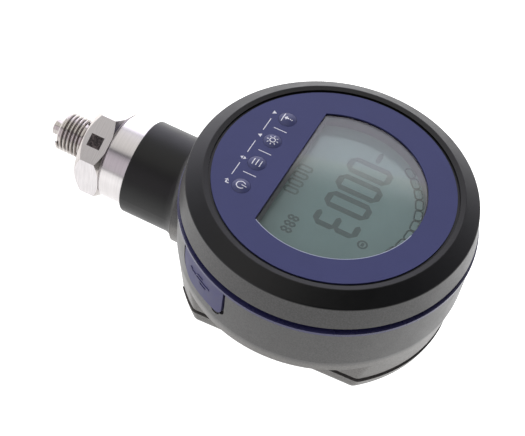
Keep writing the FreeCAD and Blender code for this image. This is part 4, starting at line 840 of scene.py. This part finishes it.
upward = addNode(tree, "ShaderNodeSeparateXYZ", None, {"Vector": towards}).outputs["Z"]
flattened = addNode(tree, "ShaderNodeVectorMath", "MULTIPLY", {0: towards, 1: (1.0, 1.0, 0.0)})
flatWay = addNode(tree, "ShaderNodeVectorMath", "NORMALIZE", {0: flattened})
facing = addNode(tree, "ShaderNodeVectorMath", "DOT_PRODUCT", {0: flatWay, 1: look["backWall"]})
turned = addNode(tree, "ShaderNodeMapRange", None, {"Value": facing, "From Min": -1.0})
cloth = addNode(tree, "ShaderNodeValToRGB", {
    "stops": [(at, [grey * c for c in look["tint"]] + [1.0]) for at, grey in look["levels"]]}, {"Fac": turned})
wall = addNode(tree, "ShaderNodeVectorMath", "SCALE", {0: cloth, "Scale": look["strength"]})
edge = addNode(tree, "ShaderNodeMapRange", softEnds, {
    "Value": upward, "From Min": look["edge"][0], "From Max": look["edge"][1],
    "To Min": look["most"], "To Max": look["top"]})
light = addNode(tree, "ShaderNodeVectorMath", "MINIMUM", {0: wall, 1: edge})
for way, (low, high), lampLight in look["panels"]:
    aim = addNode(tree, "ShaderNodeVectorMath", "DOT_PRODUCT", {0: towards, 1: way})
    spread = addNode(tree, "ShaderNodeMapRange", softEnds, {"Value": aim, "From Min": low, "From Max": high})
    panel = addNode(tree, "ShaderNodeVectorMath", "SCALE", {0: lampLight, "Scale": spread})
    light = addNode(tree, "ShaderNodeVectorMath", "MAXIMUM", {0: light, 1: panel})
ground = addNode(tree, "ShaderNodeMapRange", None, {
    "Value": upward, "From Min": look["ground"][0], "From Max": look["ground"][1], "To Min": 1.0, "To Max": 0.0})
light = addNode(tree, "ShaderNodeMix", {"data_type": "RGBA"}, {
    0: ground, 6: light, 7: [look["groundGrey"]] * 3 + [1.0]})
sky = addNode(tree, "ShaderNodeBackground", None, {"Color": light, "Strength": 1.0})
addNode(tree, "ShaderNodeOutputWorld", None, {"Surface": sky})

# camera solved from the photograph's own lines; lens in millimetres on a 36 mm wide picture of 525 by 436
cameraLook = {"distance": 524.847, "azimuth": 105.957, "elevation": 49.580, "roll": 12.271, "pan": 2.2255,
              "tilt": -0.3835, "aimHeight": 36.5, "lens": 118.913, "sensor": 36.0}
eyeData = bpy.data.cameras.new("eye")
eyeData.sensor_width = cameraLook["sensor"]
eyeData.lens = cameraLook["lens"]
eyeData.clip_start = 0.01
eye = bpy.data.objects.new("eye", eyeData)
scene.collection.objects.link(eye)
around, above = math.radians(cameraLook["azimuth"]), math.radians(cameraLook["elevation"])
back = Vector((math.sin(around) * math.cos(above), -math.cos(around) * math.cos(above), math.sin(above)))
right = Vector((math.cos(around), math.sin(around), 0.0))
turn = Matrix((right, back.cross(right), back)).transposed()
for swing, axis in (("roll", "Z"), ("pan", "Y"), ("tilt", "X")):
    turn = turn @ Matrix.Rotation(math.radians(cameraLook[swing]), 3, axis)
stand = back * cameraLook["distance"] * mm + Vector((0, 0, cameraLook["aimHeight"] * mm))
eye.matrix_world = Matrix.Translation(stand) @ turn.to_4x4()
scene.camera = eye
scene.view_settings.view_transform = "Standard"
print("stage set")
